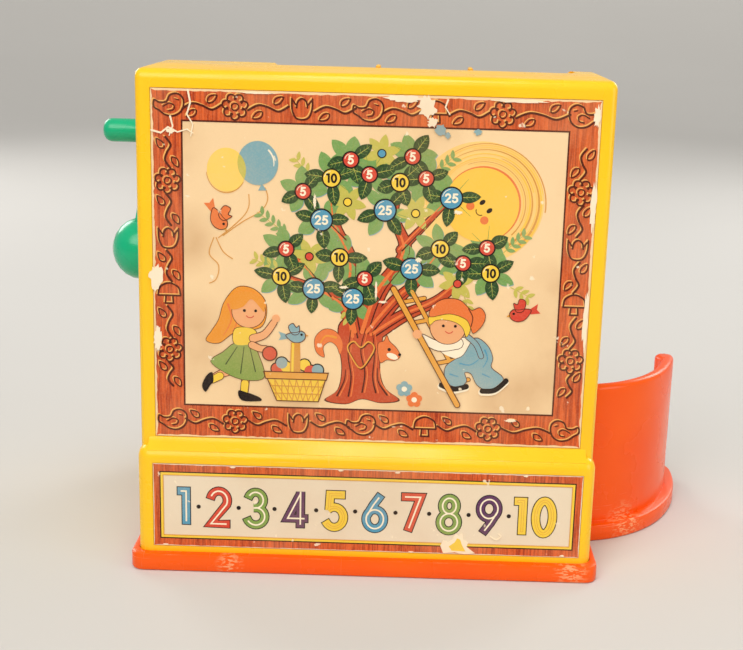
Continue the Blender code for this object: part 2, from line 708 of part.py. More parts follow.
def build_deck():
    outline = [(-98.6, -60), (98.6, -60), (98.6, 74), (-98.6, 74)]
    deck = prism("inner_deck", outline, "Z", DECK_Z[0], DECK_Z[1])
    fuse(deck, slab("drawer_stop", (-70, 70), (-32.2, -30.2), (50.6, 53)))
    cut(deck, slab("latch_slot", (50.5, 59.5), (50, 60), (40, 60)))
    for x, y in DECK_SCREWS:
        cut(deck, rod("deck_hole", "Z", (x, y), 1.8, 40, 60, 12))
    for x, y in BRACKET_SCREWS:
        cut(deck, rod("bracket_pilot", "Z", (x, y), 1.5, 40, 60, 12))
    cut(deck, rod("post_hole", "Z", (BELL_X, BELL_Y), 3.2, 40, 60, 16))
    paint(deck, YELLOW_INNER)

    y, z = SHAFT
    plate = [(-14, 55.0), (32, 55.0), (32, 60)]
    for degrees in (-20, 10, 40, 65, 90, 115, 140, 170, 200):
        angle = math.radians(degrees)
        plate.append((y + 8.6 * math.cos(angle), z + 8.6 * math.sin(angle)))
    plate += [(-19, 110), (-19, 97)]
    bracket = prism("mechanism_bracket", plate, "X", 44.0, 46.4)
    fuse(bracket, slab("bracket_foot", (34.0, 45.0), (-14, 32), (54.8, 57.2)))
    cut(bracket, rod("bracket_shaft_hole", "X", SHAFT, SHAFT_R + RUN, 40, 50, 20))
    cut(bracket, rod("striker_pin_hole", "X", STRIKER_PIN, PIN_R + RUN, 40, 50, 16))
    cut(bracket, rod("latch_pin_hole", "X", LATCH_PIN, PIN_R + RUN, 40, 50, 16))
    for x, y_screw in BRACKET_SCREWS:
        cut(bracket, rod("bracket_screw_hole", "Z", (x, y_screw), 1.8, 50, 62, 12))
    paint(bracket, STEEL)

    striker_pin = rod("striker_pin", "X", STRIKER_PIN, PIN_R, 43.0, 75.0, 16)
    paint(striker_pin, STEEL)
    latch_pin = rod("latch_pin", "X", LATCH_PIN, PIN_R, 43.0, 66.0, 16)
    paint(latch_pin, STEEL)


def build_bell():
    top = 88.0
    outer = []
    inner = []
    for degrees in (0, 20, 40, 58, 74):
        angle = math.radians(degrees)
        outer.append((72.0 + 16.0 * math.sin(angle), BELL_R * math.cos(angle)))
        inner.append((72.0 + 14.8 * math.sin(angle), (BELL_R - 1.2) * math.cos(angle)))
    profile = outer + [(top, 3.0), (top - 1.2, 3.0)] + inner[::-1]
    gong = turned("bell_gong", "Z", (BELL_X, BELL_Y), profile, 28)
    paint(gong, CHROME)

    post = turned("bell_post", "Z", (BELL_X, BELL_Y), [
        (52.0, 0), (52.0, 3.1), (54.8, 3.1), (54.8, 6.0), (57.0, 6.0), (57.0, 4.0), (86.5, 4.0),
        (86.5, 2.7), (88.4, 2.7), (88.4, 0),
    ], 18)
    cut(post, rod("post_bore", "Z", (BELL_X, BELL_Y), 1.5, 76, 95, 12))
    paint(post, WHITE)
    screw("bell_screw", (BELL_X, BELL_Y, 88.6), (0, 0, -1), 9.5, 4.4, 1.8)

    y, z = STRIKER_PIN
    striker = rod("striker_arm", "X", STRIKER_PIN, 4.6, 64.5, 72.5, 20)
    finger = [(y - 3.5, z), (y + 3.0, z)] + CAM_NOSE
    fuse(striker, prism("striker_finger", finger, "X", 66.0, 71.0))
    arm = [(y, z - 3.0), (33.0, 93.2), (33.0, 96.8), (y, z + 3.0)]
    fuse(striker, prism("striker_beam", arm, "X", 67.0, 70.0))
    head = [(90.4, 0), (90.4, 3.0), (92.0, 4.6), (97.0, 4.6), (98.6, 3.0), (98.6, 0)]
    fuse(striker, turned("striker_head", "Z", (68.5, 35.0), head, 16))
    cut(striker, rod("striker_bore", "X", STRIKER_PIN, PIN_R + RUN, 60, 80, 16))
    paint(striker, WHITE)
    set_origin(striker, 0, y, z)
    spring = torsion_spring("striker_spring", STRIKER_PIN, 3.1, 0.4, (57.8, 62.6), 200, 9)
    paint(spring, STEEL)


def build_latch():
    y, z = LATCH_PIN
    latch = rod("drawer_latch", "X", LATCH_PIN, 4.6, 51.0, 59.0, 20)
    finger = [(y - 3.5, z), (y + 3.0, z)] + CAM_NOSE
    fuse(latch, prism("latch_finger", finger, "X", 52.0, 57.0))
    hook = [(y, z - 3.6), (51.8, 57.6), (51.8, 47.2), (54.0, 46.6), (57.4, 49.0), (57.4, 62.2)]
    hook.append((y, z + 3.6))
    fuse(latch, prism("latch_hook", hook, "X", 52.2, 56.8))
    cut(latch, rod("latch_bore", "X", LATCH_PIN, PIN_R + RUN, 40, 70, 16))
    paint(latch, WHITE)
    set_origin(latch, 0, y, z)
    spring = torsion_spring("latch_spring", LATCH_PIN, 3.1, 0.4, (60.0, 64.6), 20, 8)
    paint(spring, STEEL)


# ---------------------------------------------------------------- drawer


def build_drawer():
    low, high = DRAWER_Z
    drawer = slab("drawer", (-DRAWER_HALF_X, DRAWER_HALF_X), (DRAWER_FRONT_Y + 1, DRAWER_REAR_Y),
                  (low, high))
    front = slab("drawer_front", (-DRAWER_FRONT_HALF_X, DRAWER_FRONT_HALF_X),
                 (DRAWER_FRONT_Y, DRAWER_FRONT_Y + 3.2), (low, 51.4))
    fuse(drawer, soften(front, 0.8, 2, 50))
    half = DRAWER_HALF_X - DRAWER_T
    near = DRAWER_FRONT_Y + 3.4
    far = DRAWER_REAR_Y - DRAWER_T
    inside = fillet([(-half, near, 4), (half, near, 4), (half, far, 4), (-half, far, 4)], 3)
    cut(drawer, prism("drawer_inside", inside, "Z", low + DRAWER_T, 60))
    for x in (-60.0, 20.0):
        fuse(drawer, slab("stop_tab", (x - 8, x + 8), (far, DRAWER_REAR_Y), (45, 51.8)))
    fuse(drawer, rod("spring_spigot", "Y", (0, 30), 4.6, DRAWER_REAR_Y - 1, DRAWER_REAR_Y + 7, 16))
    paint(drawer, ORANGE)
    set_origin(drawer, 0, 0, 30)

    path = coil_path("Y", (0, 30), 6.4, DRAWER_REAR_Y + 1.2, LOWER_HALF_Y - WALL - 1.2, 5.0, 10)
    spring = wire("drawer_spring", path, 0.6)
    paint(spring, STEEL)


# ---------------------------------------------------------------- assembly


clear_scene()

YELLOW = material("housing_yellow", (0.93, 0.56, 0.03), 0.25)
YELLOW_INNER = material("chute_yellow", (0.90, 0.53, 0.04), 0.35)
ORANGE = material("base_orange", (0.85, 0.20, 0.02), 0.28)
GREEN = material("crank_green", (0.02, 0.30, 0.10), 0.25)
RED = material("key_red", (0.70, 0.04, 0.03), 0.3)
KEY_YELLOW = material("key_yellow", (0.95, 0.62, 0.05), 0.3)
BLUE = material("key_blue", (0.03, 0.17, 0.55), 0.3)
WHITE = material("white_plastic", (0.80, 0.79, 0.74), 0.4)
STEEL = material("steel", (0.55, 0.56, 0.58), 0.35, 1.0)
CHROME = material("bell_chrome", (0.72, 0.73, 0.75), 0.12, 1.0)
CLEAR = material("clear_plastic", (0.90, 0.94, 0.95), 0.05, 0.0, 0.3)
PICTURE = material("picture_paper", (0.78, 0.74, 0.58), 0.45)
NUMBERS = material("number_paper", (0.85, 0.80, 0.62), 0.45)

build_base()
build_housing()
build_labels()
build_chute()
build_keys()
build_crank()
build_deck()
build_bell()
build_latch()
build_drawer()

for index, (x, y) in enumerate(BASE_SCREWS):
    screw("base_screw_" + str(index + 1), (x, y, 1.65), (0, 0, 1), 14.5)
for index, (x, y) in enumerate(DECK_SCREWS):
    screw("deck_screw_" + str(index + 1), (x, y, DECK_Z[0] - 0.05), (0, 0, 1), 10.0, 3.0, 1.4)
for index, (x, y) in enumerate(BRACKET_SCREWS):
    screw("bracket_screw_" + str(index + 1), (x, y, 57.25), (0, 0, -1), 5.2)
for index, (x, s) in enumerate(CHUTE_SCREWS):
    inward = Vector(lane(x, s, 1.0)) - Vector(lane(x, s, 0.0))
    screw("chute_screw_" + str(index + 1), lane(x, s, PLATE_T[1] + 0.05), -inward, 9.5)
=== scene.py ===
"""Looks of the toy cash register: moulded plastics, worn printed labels, studio and camera.

The customer's side faces +Y, and someone facing it has -X on the right. A drawing's own axes are
a (to the right), b (up) and the height out of the sheet, in millimetres from the drawing's middle.
"""

import math
import random

import bmesh
import bpy
from mathutils import Matrix, Vector


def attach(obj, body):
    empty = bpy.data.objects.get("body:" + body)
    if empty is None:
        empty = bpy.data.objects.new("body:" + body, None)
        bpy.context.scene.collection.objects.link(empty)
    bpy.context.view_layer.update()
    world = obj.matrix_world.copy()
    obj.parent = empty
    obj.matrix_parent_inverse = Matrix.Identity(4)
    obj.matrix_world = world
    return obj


MM = 0.001

# Heights in millimetres: of a printed layer, between two shapes of one layer, and of a shape's back
LAYER = 0.055
SHAPE_STEP = 0.00024
STEPS_IN_LAYER = 223
SINK = -0.12

# The photograph's camera: yaw, pitch and roll in degrees
CAMERA_TURN = (0.31, 14.57, 1.66)
CAMERA_PLACE = (-0.0136, 0.6412, 0.2557)
SENSOR = 36
LENS = 65.3
SHIFT = (-0.030, 0.020)

FLOOR_FLAT = 2.0
FLOOR_SWEEP = (2.6, 2.0)
FLOOR_SIDES = 96
FLOOR_SPAN_STEPS = 5
FLOOR_SWEEP_STEPS = 16

# Name, place, aim, width, watts and tint of each lamp
LAMPS = [
    ("key", (0.45, 1.05, 0.95), (0, 0.05, 0.12), 0.8, 2.4, (1.0, 0.96, 0.90)),
    ("fill", (-1.0, 0.62, 0.5), (-0.1, 0, 0.08), 0.7, 3.0, (1.0, 0.97, 0.93)),
    ("overhead", (0.0, 0.42, 1.15), (0, 0.05, 0.1), 0.5, 4.2, (1.0, 0.98, 0.92)),
    ("back_left", (0.95, -1.05, 0.7), (0, 0, 0.1), 0.7, 6.0, (1.0, 0.98, 0.95)),
    ("back_right", (-0.95, -1.05, 0.8), (0, 0, 0.1), 0.7, 6.0, (1.0, 0.98, 0.95)),
]
DAYLIGHT_WAY = (-0.28, -0.76, -0.62)

# Metres between points taken as one, and the degrees between faces that stay a crisp corner
WELD = 0.000002
CREASE = 32

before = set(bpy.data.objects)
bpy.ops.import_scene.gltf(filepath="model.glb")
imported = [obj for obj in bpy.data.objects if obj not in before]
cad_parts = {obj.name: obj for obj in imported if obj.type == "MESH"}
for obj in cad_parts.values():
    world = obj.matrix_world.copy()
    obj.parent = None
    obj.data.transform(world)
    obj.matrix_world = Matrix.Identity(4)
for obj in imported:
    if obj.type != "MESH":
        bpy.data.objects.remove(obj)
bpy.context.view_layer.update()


# ---- camera, floor and light


def rgb(red, green, blue):
    """A colour on the screen's 0 to 255 scale, as linear light."""
    values = []
    for channel in (red, green, blue):
        share = channel / 255
        values.append(share / 12.92 if share <= 0.04045 else ((share + 0.055) / 1.055) ** 2.4)
    return tuple(values)


def link(thing):
    bpy.context.scene.collection.objects.link(thing)
    return thing


def add_camera():
    yaw, pitch, roll = (math.radians(angle) for angle in CAMERA_TURN)
    ahead = Vector((math.sin(yaw) * math.cos(pitch), -math.cos(yaw) * math.cos(pitch), -math.sin(pitch)))
    level = ahead.cross(Vector((0, 0, 1))).normalized()
    top = level.cross(ahead)
    right = level * math.cos(roll) + top * math.sin(roll)
    up = top * math.cos(roll) - level * math.sin(roll)
    data = bpy.data.cameras.new("camera")
    data.sensor_width = SENSOR
    data.lens = LENS
    data.shift_x, data.shift_y = SHIFT
    data.clip_start = 0.01
    camera = link(bpy.data.objects.new("camera", data))
    facing = Matrix((right, up, -ahead)).transposed().to_4x4()
    camera.matrix_world = Matrix.Translation(CAMERA_PLACE) @ facing
    bpy.context.scene.camera = camera


def add_light(name, kind, way, power, tint):
    data = bpy.data.lights.new(name, kind)
    data.energy = power
    data.color = tint
    lamp = link(bpy.data.objects.new(name, data))
    lamp.rotation_mode = "QUATERNION"
    lamp.rotation_quaternion = Vector(way).to_track_quat("-Z", "Y")
    return lamp


def build_floor():
    """A round floor that sweeps up into a low wall, far outside the object on every side."""
    profile = [(FLOOR_FLAT / FLOOR_SPAN_STEPS * step, 0.0) for step in range(1, FLOOR_SPAN_STEPS + 1)]
    for step in range(1, FLOOR_SWEEP_STEPS + 1):
        turn = math.radians(90 * step / FLOOR_SWEEP_STEPS)
        profile.append((FLOOR_FLAT + FLOOR_SWEEP[0] * math.sin(turn), FLOOR_SWEEP[1] * (1 - math.cos(turn))))
    shell = bmesh.new()
    rows = []
    for radius, height in profile:
        row = []
        for step in range(FLOOR_SIDES):
            turn = math.tau * step / FLOOR_SIDES
            row.append(shell.verts.new((radius * math.cos(turn), radius * math.sin(turn), height)))
        rows.append(row)
    shell.faces.new(rows[0])
    for low, high in zip(rows, rows[1:]):
        for step in range(FLOOR_SIDES):
            after = (step + 1) % FLOOR_SIDES
            shell.faces.new((low[step], high[step], high[after], low[after]))
    bmesh.ops.recalc_face_normals(shell, faces=shell.faces)
    for face in shell.faces:
        face.smooth = True
    data = bpy.data.meshes.new("floor")
    shell.to_mesh(data)
    shell.free()
    return link(bpy.data.objects.new("floor", data))


def add_studio():
    floor = build_floor()
    paint = Surface("floor_grey", (0.62, 0.61, 0.59))
    paint.set("Roughness", 0.8)
    paint.set("Specular IOR Level", 0.1)
    cloudy = paint.noise(1.5, 3.0)
    paint.set("Base Color", paint.mix(cloudy, (0.60, 0.59, 0.57), (0.66, 0.65, 0.63)))
    floor.data.materials.append(paint.material)

    world = bpy.data.worlds.new("studio")
    world.use_nodes = True
    sky = world.node_tree.nodes["Background"]
    sky.inputs["Color"].default_value = (1.0, 0.98, 0.95, 1.0)
    sky.inputs["Strength"].default_value = 0.38
    bpy.context.scene.world = world

    daylight = add_light("daylight", "SUN", DAYLIGHT_WAY, 1.5, (1.0, 0.965, 0.91))
    daylight.data.angle = math.radians(50)
    for name, place, aim, width, power, tint in LAMPS:
        lamp = add_light(name, "AREA", Vector(aim) - Vector(place), power, tint)
        lamp.location = place
        lamp.data.shape = "DISK"
        lamp.data.size = width
    bpy.context.scene.view_settings.view_transform = "Standard"


# ---- materials


class Surface:
    """A Principled material built up from noise in the piece's own coordinates."""

    def __init__(self, name, colour):
        self.material = bpy.data.materials.new(name)
        self.material.use_nodes = True
        self.material.diffuse_color = (*colour, 1.0)
        self.tree = self.material.node_tree
        self.surface = self.tree.nodes["Principled BSDF"]
        self.set("Base Color", colour)
        self.place = self.node("TexCoord", {}).outputs["Object"]

    def put(self, socket, value):
        if isinstance(value, bpy.types.NodeSocket):
            self.tree.links.new(value, socket)
        elif isinstance(value, tuple) and len(value) == 3 and socket.type == "RGBA":
            socket.default_value = (*value, 1.0)
        else:
            socket.default_value = value

    def node(self, kind, inputs, operation=None):
        """A new shader node; each input's value is a number, a colour, a vector or a node's socket."""
        node = self.tree.nodes.new("ShaderNode" + kind)
        if operation:
            node.operation = operation
        for key, value in inputs.items():
            self.put(node.inputs[key], value)
        return node

    def set(self, name, value):
        self.put(self.surface.inputs[name], value)

    def noise(self, scale, detail, stretch=None, distortion=0.0):
        place = self.place
        if stretch:
            place = self.node("Mapping", {"Vector": place, "Scale": stretch}).outputs["Vector"]
        inputs = {"Vector": place, "Scale": scale, "Detail": detail, "Distortion": distortion}
        return self.node("TexNoise", inputs).outputs["Fac"]

    def spread(self, value, low, high, out_low=0.0, out_high=1.0):
        inputs = {"Value": value, "From Min": low, "From Max": high, "To Min": out_low, "To Max": out_high}
        return self.node("MapRange", inputs).outputs["Result"]

    def patches(self, scale, detail, low, high, stretch=None, distortion=0.0):
        """Noise as patches: 0 up to the low value, 1 from the high one."""
        return self.spread(self.noise(scale, detail, stretch, distortion), low, high)

    def maths(self, operation, a, b):
        return self.node("Math", {0: a, 1: b}, operation).outputs["Value"]

    def mix(self, share, a, b):
        node = self.node("Mix", {})
        node.data_type = "RGBA"
        for key, value in ((0, share), (6, a), (7, b)):
            self.put(node.inputs[key], value)
        return node.outputs[2]

    def tint(self, body, mask, share, colour):
        """The body's colour, turned by a share to another one where the mask is 1."""
        return self.mix(self.maths("MULTIPLY", mask, share), body, colour)

    def edges(self, radius):
        """Near 1 on sharp outer edges, 0 on flat faces."""
        rounded = self.node("Bevel", {"Radius": radius * MM})
        rounded.samples = 4
        flat = self.node("NewGeometry", {})
        normals = {0: rounded.outputs["Normal"], 1: flat.outputs["Normal"]}
        return self.spread(self.node("VectorMath", normals, "DOT_PRODUCT").outputs["Value"], 0.985, 0.80)

    def near(self, point, reach):
        """1 at a point of the piece in millimetres, falling to 0 at the reach."""
        gap = self.node("VectorMath", {0: self.place, 1: Vector(point) * MM}, "DISTANCE")
        return self.spread(gap.outputs["Value"], reach * MM, reach * 0.3 * MM)

    def relief(self, layers):
        """Each layer is (height socket, distance in millimetres)."""
        inputs = {}
        for height, distance in layers:
            inputs.update({"Distance": distance * MM, "Height": height})
            inputs["Normal"] = self.node("Bump", inputs).outputs["Normal"]
        self.set("Normal", inputs["Normal"])


def plastic(name, colour, deep, pale, gloss, wear, scuffs=(), coat=0.08):
    """Moulded toy plastic: slow colour drift, rubbed edges, fine scratches and a little dust."""
    look = Surface(name, colour)
    drift = look.patches(14.0, 3.0, 0.35, 0.7)
    body = look.tint(colour, drift, 0.55, deep)
    flecks = look.patches(520.0, 2.0, 0.72, 0.78)
    body = look.tint(body, flecks, 0.3, deep)
    patchy = look.patches(110.0, 4.0, 0.52, 0.66)
    body = look.tint(body, look.maths("MULTIPLY", look.edges(0.7), patchy), wear, pale)
    streaks = look.patches(60.0, 5.0, 0.64, 0.70, (1.0, 1.0, 22.0), 0.6)
    crossed = look.patches(55.0, 5.0, 0.66, 0.71, (26.0, 1.0, 1.0), 0.4)
    lines = look.maths("MAXIMUM", streaks, crossed)
    rare = look.patches(9.0, 2.0, 0.5, 0.62)
    lines = look.maths("MULTIPLY", lines, rare)
    body = look.tint(body, lines, 0.16, pale)
    for point, reach in scuffs:
        torn = look.patches(420.0, 6.0, 0.50, 0.56, (1.0, 1.0, 3.0))
        body = look.tint(body, look.maths("MULTIPLY", torn, look.near(point, reach)), 0.75, pale)
    look.set("Base Color", body)
    smudge = look.spread(look.noise(26.0, 4.0), 0.35, 0.7, gloss - 0.04, gloss + 0.13)
    look.set("Roughness", look.maths("ADD", smudge, look.maths("MULTIPLY", lines, 0.2)))
    look.set("Coat Weight", coat)
    look.set("Coat Roughness", 0.14)
    look.set("Specular IOR Level", 0.32)
    look.relief([(look.noise(30.0, 1.0), 0.35), (look.noise(900.0, 2.0), 0.012), (lines, -0.02)])
    return look.material


def metal(name, colour, dull, roughness, brushed=(1.0, 1.0, 1.0)):
    """Plated or brushed metal with dull stains."""
    look = Surface(name, colour)
    stain = look.patches(160.0, 5.0, 0.5, 0.75)
    look.set("Base Color", look.tint(colour, stain, 0.6, dull))
    look.set("Metallic", 1.0)
    hair = look.noise(900.0, 3.0, brushed)
    look.set("Roughness", look.spread(hair, 0.3, 0.7, roughness - 0.05, roughness + 0.12))
    look.relief([(hair, 0.006)])
    return look.material


def clear_plastic(name):
    """A thin clear sheet, hazy in places."""
    look = Surface(name, (0.93, 0.96, 0.97))
    haze = look.patches(70.0, 5.0, 0.45, 0.75)
    look.set("Base Color", look.mix(haze, (0.92, 0.96, 0.97), (0.84, 0.86, 0.84)))
    look.set("Roughness", look.spread(haze, 0.0, 1.0, 0.04, 0.16))
    look.set("Alpha", 0.13)
    look.set("IOR", 1.49)
    look.relief([(look.noise(40.0, 2.0), 0.05)])
    return look.material


PAPER = rgb(243, 209, 162)
BARE = rgb(250, 232, 202)
AGED = rgb(190, 132, 70)
STAIN = rgb(176, 118, 66)
LIT_WOOD = rgb(228, 128, 72)


def printed(name, colour, fade, grain=None, paper=PAPER, stains=()):
    """Ink on label paper: faded in patches, rubbed to the paper here and there, lightly wrinkled."""
    look = Surface(name, colour)
    body = colour
    if grain:
        streak = look.patches(70.0, 6.0, 0.38, 0.66, (14.0, 1.0, 0.8), 0.8)
        body = look.mix(streak, colour, grain)
        pores = look.patches(260.0, 3.0, 0.60, 0.70, (8.0, 1.0, 0.6))
        body = look.tint(body, pores, 0.35, tuple(c * 0.45 for c in grain))
        body = look.tint(body, look.patches(22.0, 3.0, 0.45, 0.7), 0.28, LIT_WOOD)
    faded = look.patches(28.0, 4.0, 0.42, 0.74)
    body = look.tint(body, faded, fade, paper)
    dots = look.patches(1500.0, 1.0, 0.45, 0.62)
    body = look.tint(body, dots, fade * 0.3, paper)
    brown = look.patches(17.0, 5.0, 0.55, 0.78)
    body = look.tint(body, brown, min(0.2, fade), AGED)
    for point, reach in stains:
        patch = look.maths("MULTIPLY", look.near(point, reach), look.patches(30.0, 4.0, 0.3, 0.7))
        body = look.tint(body, patch, 0.42, STAIN)
    bare = look.patches(210.0, 5.0, 0.70, 0.735)
    body = look.tint(body, bare, 0.8, BARE)
    look.set("Base Color", body)
    look.set("Roughness", look.spread(look.noise(60.0, 4.0), 0.3, 0.7, 0.30, 0.48))
    look.set("Specular IOR Level", 0.2)
    wrinkles = look.noise(45.0, 3.0, (1.6, 1.0, 0.5))
    look.relief([(wrinkles, 0.16), (look.noise(700.0, 2.0), 0.010), (bare, -0.05)])
    return look.material


YELLOW = plastic("housing_yellow", (0.99, 0.59, 0.014), (0.96, 0.47, 0.008), (1.0, 0.74, 0.22), 0.24, 0.3)
INNER_YELLOW = plastic(
    "chute_yellow", (0.90, 0.50, 0.025), (0.84, 0.38, 0.012), (0.98, 0.68, 0.20), 0.34, 0.25)
ORANGE = plastic(
    "base_orange", (0.97, 0.115, 0.001), (0.92, 0.062, 0.001), (0.98, 0.46, 0.22), 0.25, 0.6,
    [((-93, 82, 5), 9), ((-127, 24, 7), 12), ((60, 82, 4), 7), ((-130, -60, 7), 10), ((104, -40, 6), 9)], 0.0)
GREEN = plastic(
    "crank_green", (0.006, 0.46, 0.225), (0.004, 0.37, 0.17), (0.25, 0.68, 0.46), 0.2, 0.35, (), 0.3)
RED = plastic("key_red", (0.66, 0.030, 0.016), (0.52, 0.018, 0.012), (0.86, 0.32, 0.24), 0.25, 0.5)
KEY_YELLOW = plastic("key_yellow", (0.93, 0.62, 0.055), (0.88, 0.50, 0.03), (0.98, 0.82, 0.42), 0.25, 0.5)
BLUE = plastic("key_blue", (0.022, 0.16, 0.50), (0.014, 0.11, 0.40), (0.30, 0.46, 0.76), 0.25, 0.5)
WHITE = plastic("white_plastic", (0.78, 0.76, 0.70), (0.70, 0.66, 0.57), (0.86, 0.85, 0.82), 0.38, 0.2)
STEEL = metal("steel", (0.56, 0.56, 0.57), (0.30, 0.27, 0.24), 0.34, (1.0, 1.0, 9.0))
CHROME = metal("bell_chrome", (0.80, 0.80, 0.82), (0.48, 0.46, 0.43), 0.10)
CLEAR = clear_plastic("clear_plastic")
PICTURE_PAPER = printed(
    "picture_paper", PAPER, 0.30, None, rgb(252, 222, 176),
    [((-79, 73, 96), 26), ((-80, 73, 128), 20), ((80, 73, 104), 26), ((81, 73, 150), 18), ((82, 73, 190), 14),
     ((-20, 73, 80), 22), ((30, 73, 82), 18), ((-60, 73, 82), 18)])
NUMBER_PAPER = printed("number_paper", rgb(233, 214, 186), 0.25, None, rgb(246, 232, 208))

FINISHES = {
    "base_pan": ORANGE, "drawer": ORANGE, "housing": YELLOW, "coin_chute": INNER_YELLOW,
    "inner_deck": INNER_YELLOW, "coin_window": CLEAR, "crank_handle": GREEN, "key_five": RED,
    "key_ten": KEY_YELLOW, "key_twentyfive": BLUE, "cam_drum": WHITE, "shaft_bush": WHITE,
    "bell_post": WHITE, "striker_arm": WHITE, "drawer_latch": WHITE, "bell_gong": CHROME,
    "bell_screw": CHROME, "picture_label": PICTURE_PAPER, "number_label": NUMBER_PAPER,
}


def smoothing():
    """Modifier nodes that shade curved faces smoothly and leave corners crisp."""
    tree = bpy.data.node_groups.new("smooth_curves", "GeometryNodeTree")
    tree.interface.new_socket("Geometry", in_out="INPUT", socket_type="NodeSocketGeometry")
    tree.interface.new_socket("Geometry", in_out="OUTPUT", socket_type="NodeSocketGeometry")
    start = tree.nodes.new("NodeGroupInput")
    finish = tree.nodes.new("NodeGroupOutput")
    weld = tree.nodes.new("GeometryNodeMergeByDistance")
    weld.inputs["Distance"].default_value = WELD
    angle = tree.nodes.new("GeometryNodeInputMeshEdgeAngle")
    sharp = tree.nodes.new("FunctionNodeCompare")
    sharp.operation = "LESS_EQUAL"
    sharp.inputs["B"].default_value = math.radians(CREASE)
    tree.links.new(angle.outputs["Unsigned Angle"], sharp.inputs["A"])
    faces = tree.nodes.new("GeometryNodeSetShadeSmooth")
    faces.domain = "FACE"
    crease = tree.nodes.new("GeometryNodeSetShadeSmooth")
    crease.domain = "EDGE"
    tree.links.new(sharp.outputs["Result"], crease.inputs["Shade Smooth"])
    chain = (start, weld, faces, crease, finish)
    for first, second in zip(chain, chain[1:]):
        tree.links.new(first.outputs[0], second.inputs[0])
    return tree


def finish_cad_nodes():
    smooth = smoothing()
    for name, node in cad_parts.items():
        paint = FINISHES.get(name, STEEL)
        if not node.data.materials:
            node.data.materials.append(paint)
        for slot in node.material_slots:
            slot.material = paint
        change = node.modifiers.new("smooth_curves", "NODES")
        change.node_group = smooth


# ---- drawing kit


def arc(centre, radii, start, end, steps):
    """Points along an ellipse from one angle to another, in degrees."""
    points = []
    for i in range(steps + 1):
        angle = math.radians(start + (end - start) * i / steps)
        points.append((centre[0] + radii[0] * math.cos(angle), centre[1] + radii[1] * math.sin(angle)))
    return points


def oval(centre, rx, ry, steps, tilt=0.0):
    return moved(arc((0, 0), (rx, ry), 0, 360 * (steps - 1) / steps, steps - 1), centre, tilt)


def smooth(points, steps, closed=False):
    """A curve through the points."""
    count = len(points)
    made = []
    spans = count if closed else count - 1
    for i in range(spans):
        if closed:
            p = [Vector(points[(i + k) % count]) for k in (-1, 0, 1, 2)]
        else:
            p = [Vector(points[min(max(i + k, 0), count - 1)]) for k in (-1, 0, 1, 2)]
        for k in range(steps):
            t = k / steps
            spot = 0.5 * (2 * p[1] + (p[2] - p[0]) * t + (2 * p[0] - 5 * p[1] + 4 * p[2] - p[3]) * t * t
                          + (3 * p[1] - p[0] - 3 * p[2] + p[3]) * t * t * t)
            made.append((spot.x, spot.y))
    if not closed:
        made.append(tuple(points[-1]))
    return made


def moved(points, origin, angle=0.0, scale=1.0, mirror=False):
    """Points in place: mirrored across, scaled, turned by degrees and shifted, in that order."""
    turn = math.radians(angle)
    made = []
    for x, y in points:
        x = -x * scale if mirror else x * scale
        y = y * scale
        made.append((origin[0] + x * math.cos(turn) - y * math.sin(turn),
                     origin[1] + x * math.sin(turn) + y * math.cos(turn)))
    return made


def sides(path, widths, closed=False):
    """The two edges of a line of the given width or widths along a path."""
    count = len(path)
    left = []
    right = []
    for i, point in enumerate(path):
        here = Vector(point)
        before = Vector(path[i - 1]) if closed or i else here
        after = Vector(path[(i + 1) % count]) if closed or i < count - 1 else here
        into = (here - before).normalized() if before != here else (after - here).normalized()
        out = (after - here).normalized() if after != here else into
        across = Vector((-(into + out).y, (into + out).x))
        across = across.normalized() if across.length > 0.01 else Vector((-into.y, into.x))
        stretch = min(1.0 / max(across.dot(Vector((-into.y, into.x))), 0.1), 1.9)
        width = widths if isinstance(widths, (int, float)) else (
            widths[0] + (widths[-1] - widths[0]) * i / (count - 1))
        offset = across * (width / 2 * stretch)
        left.append(tuple(here + offset))
        right.append(tuple(here - offset))
    return left, right


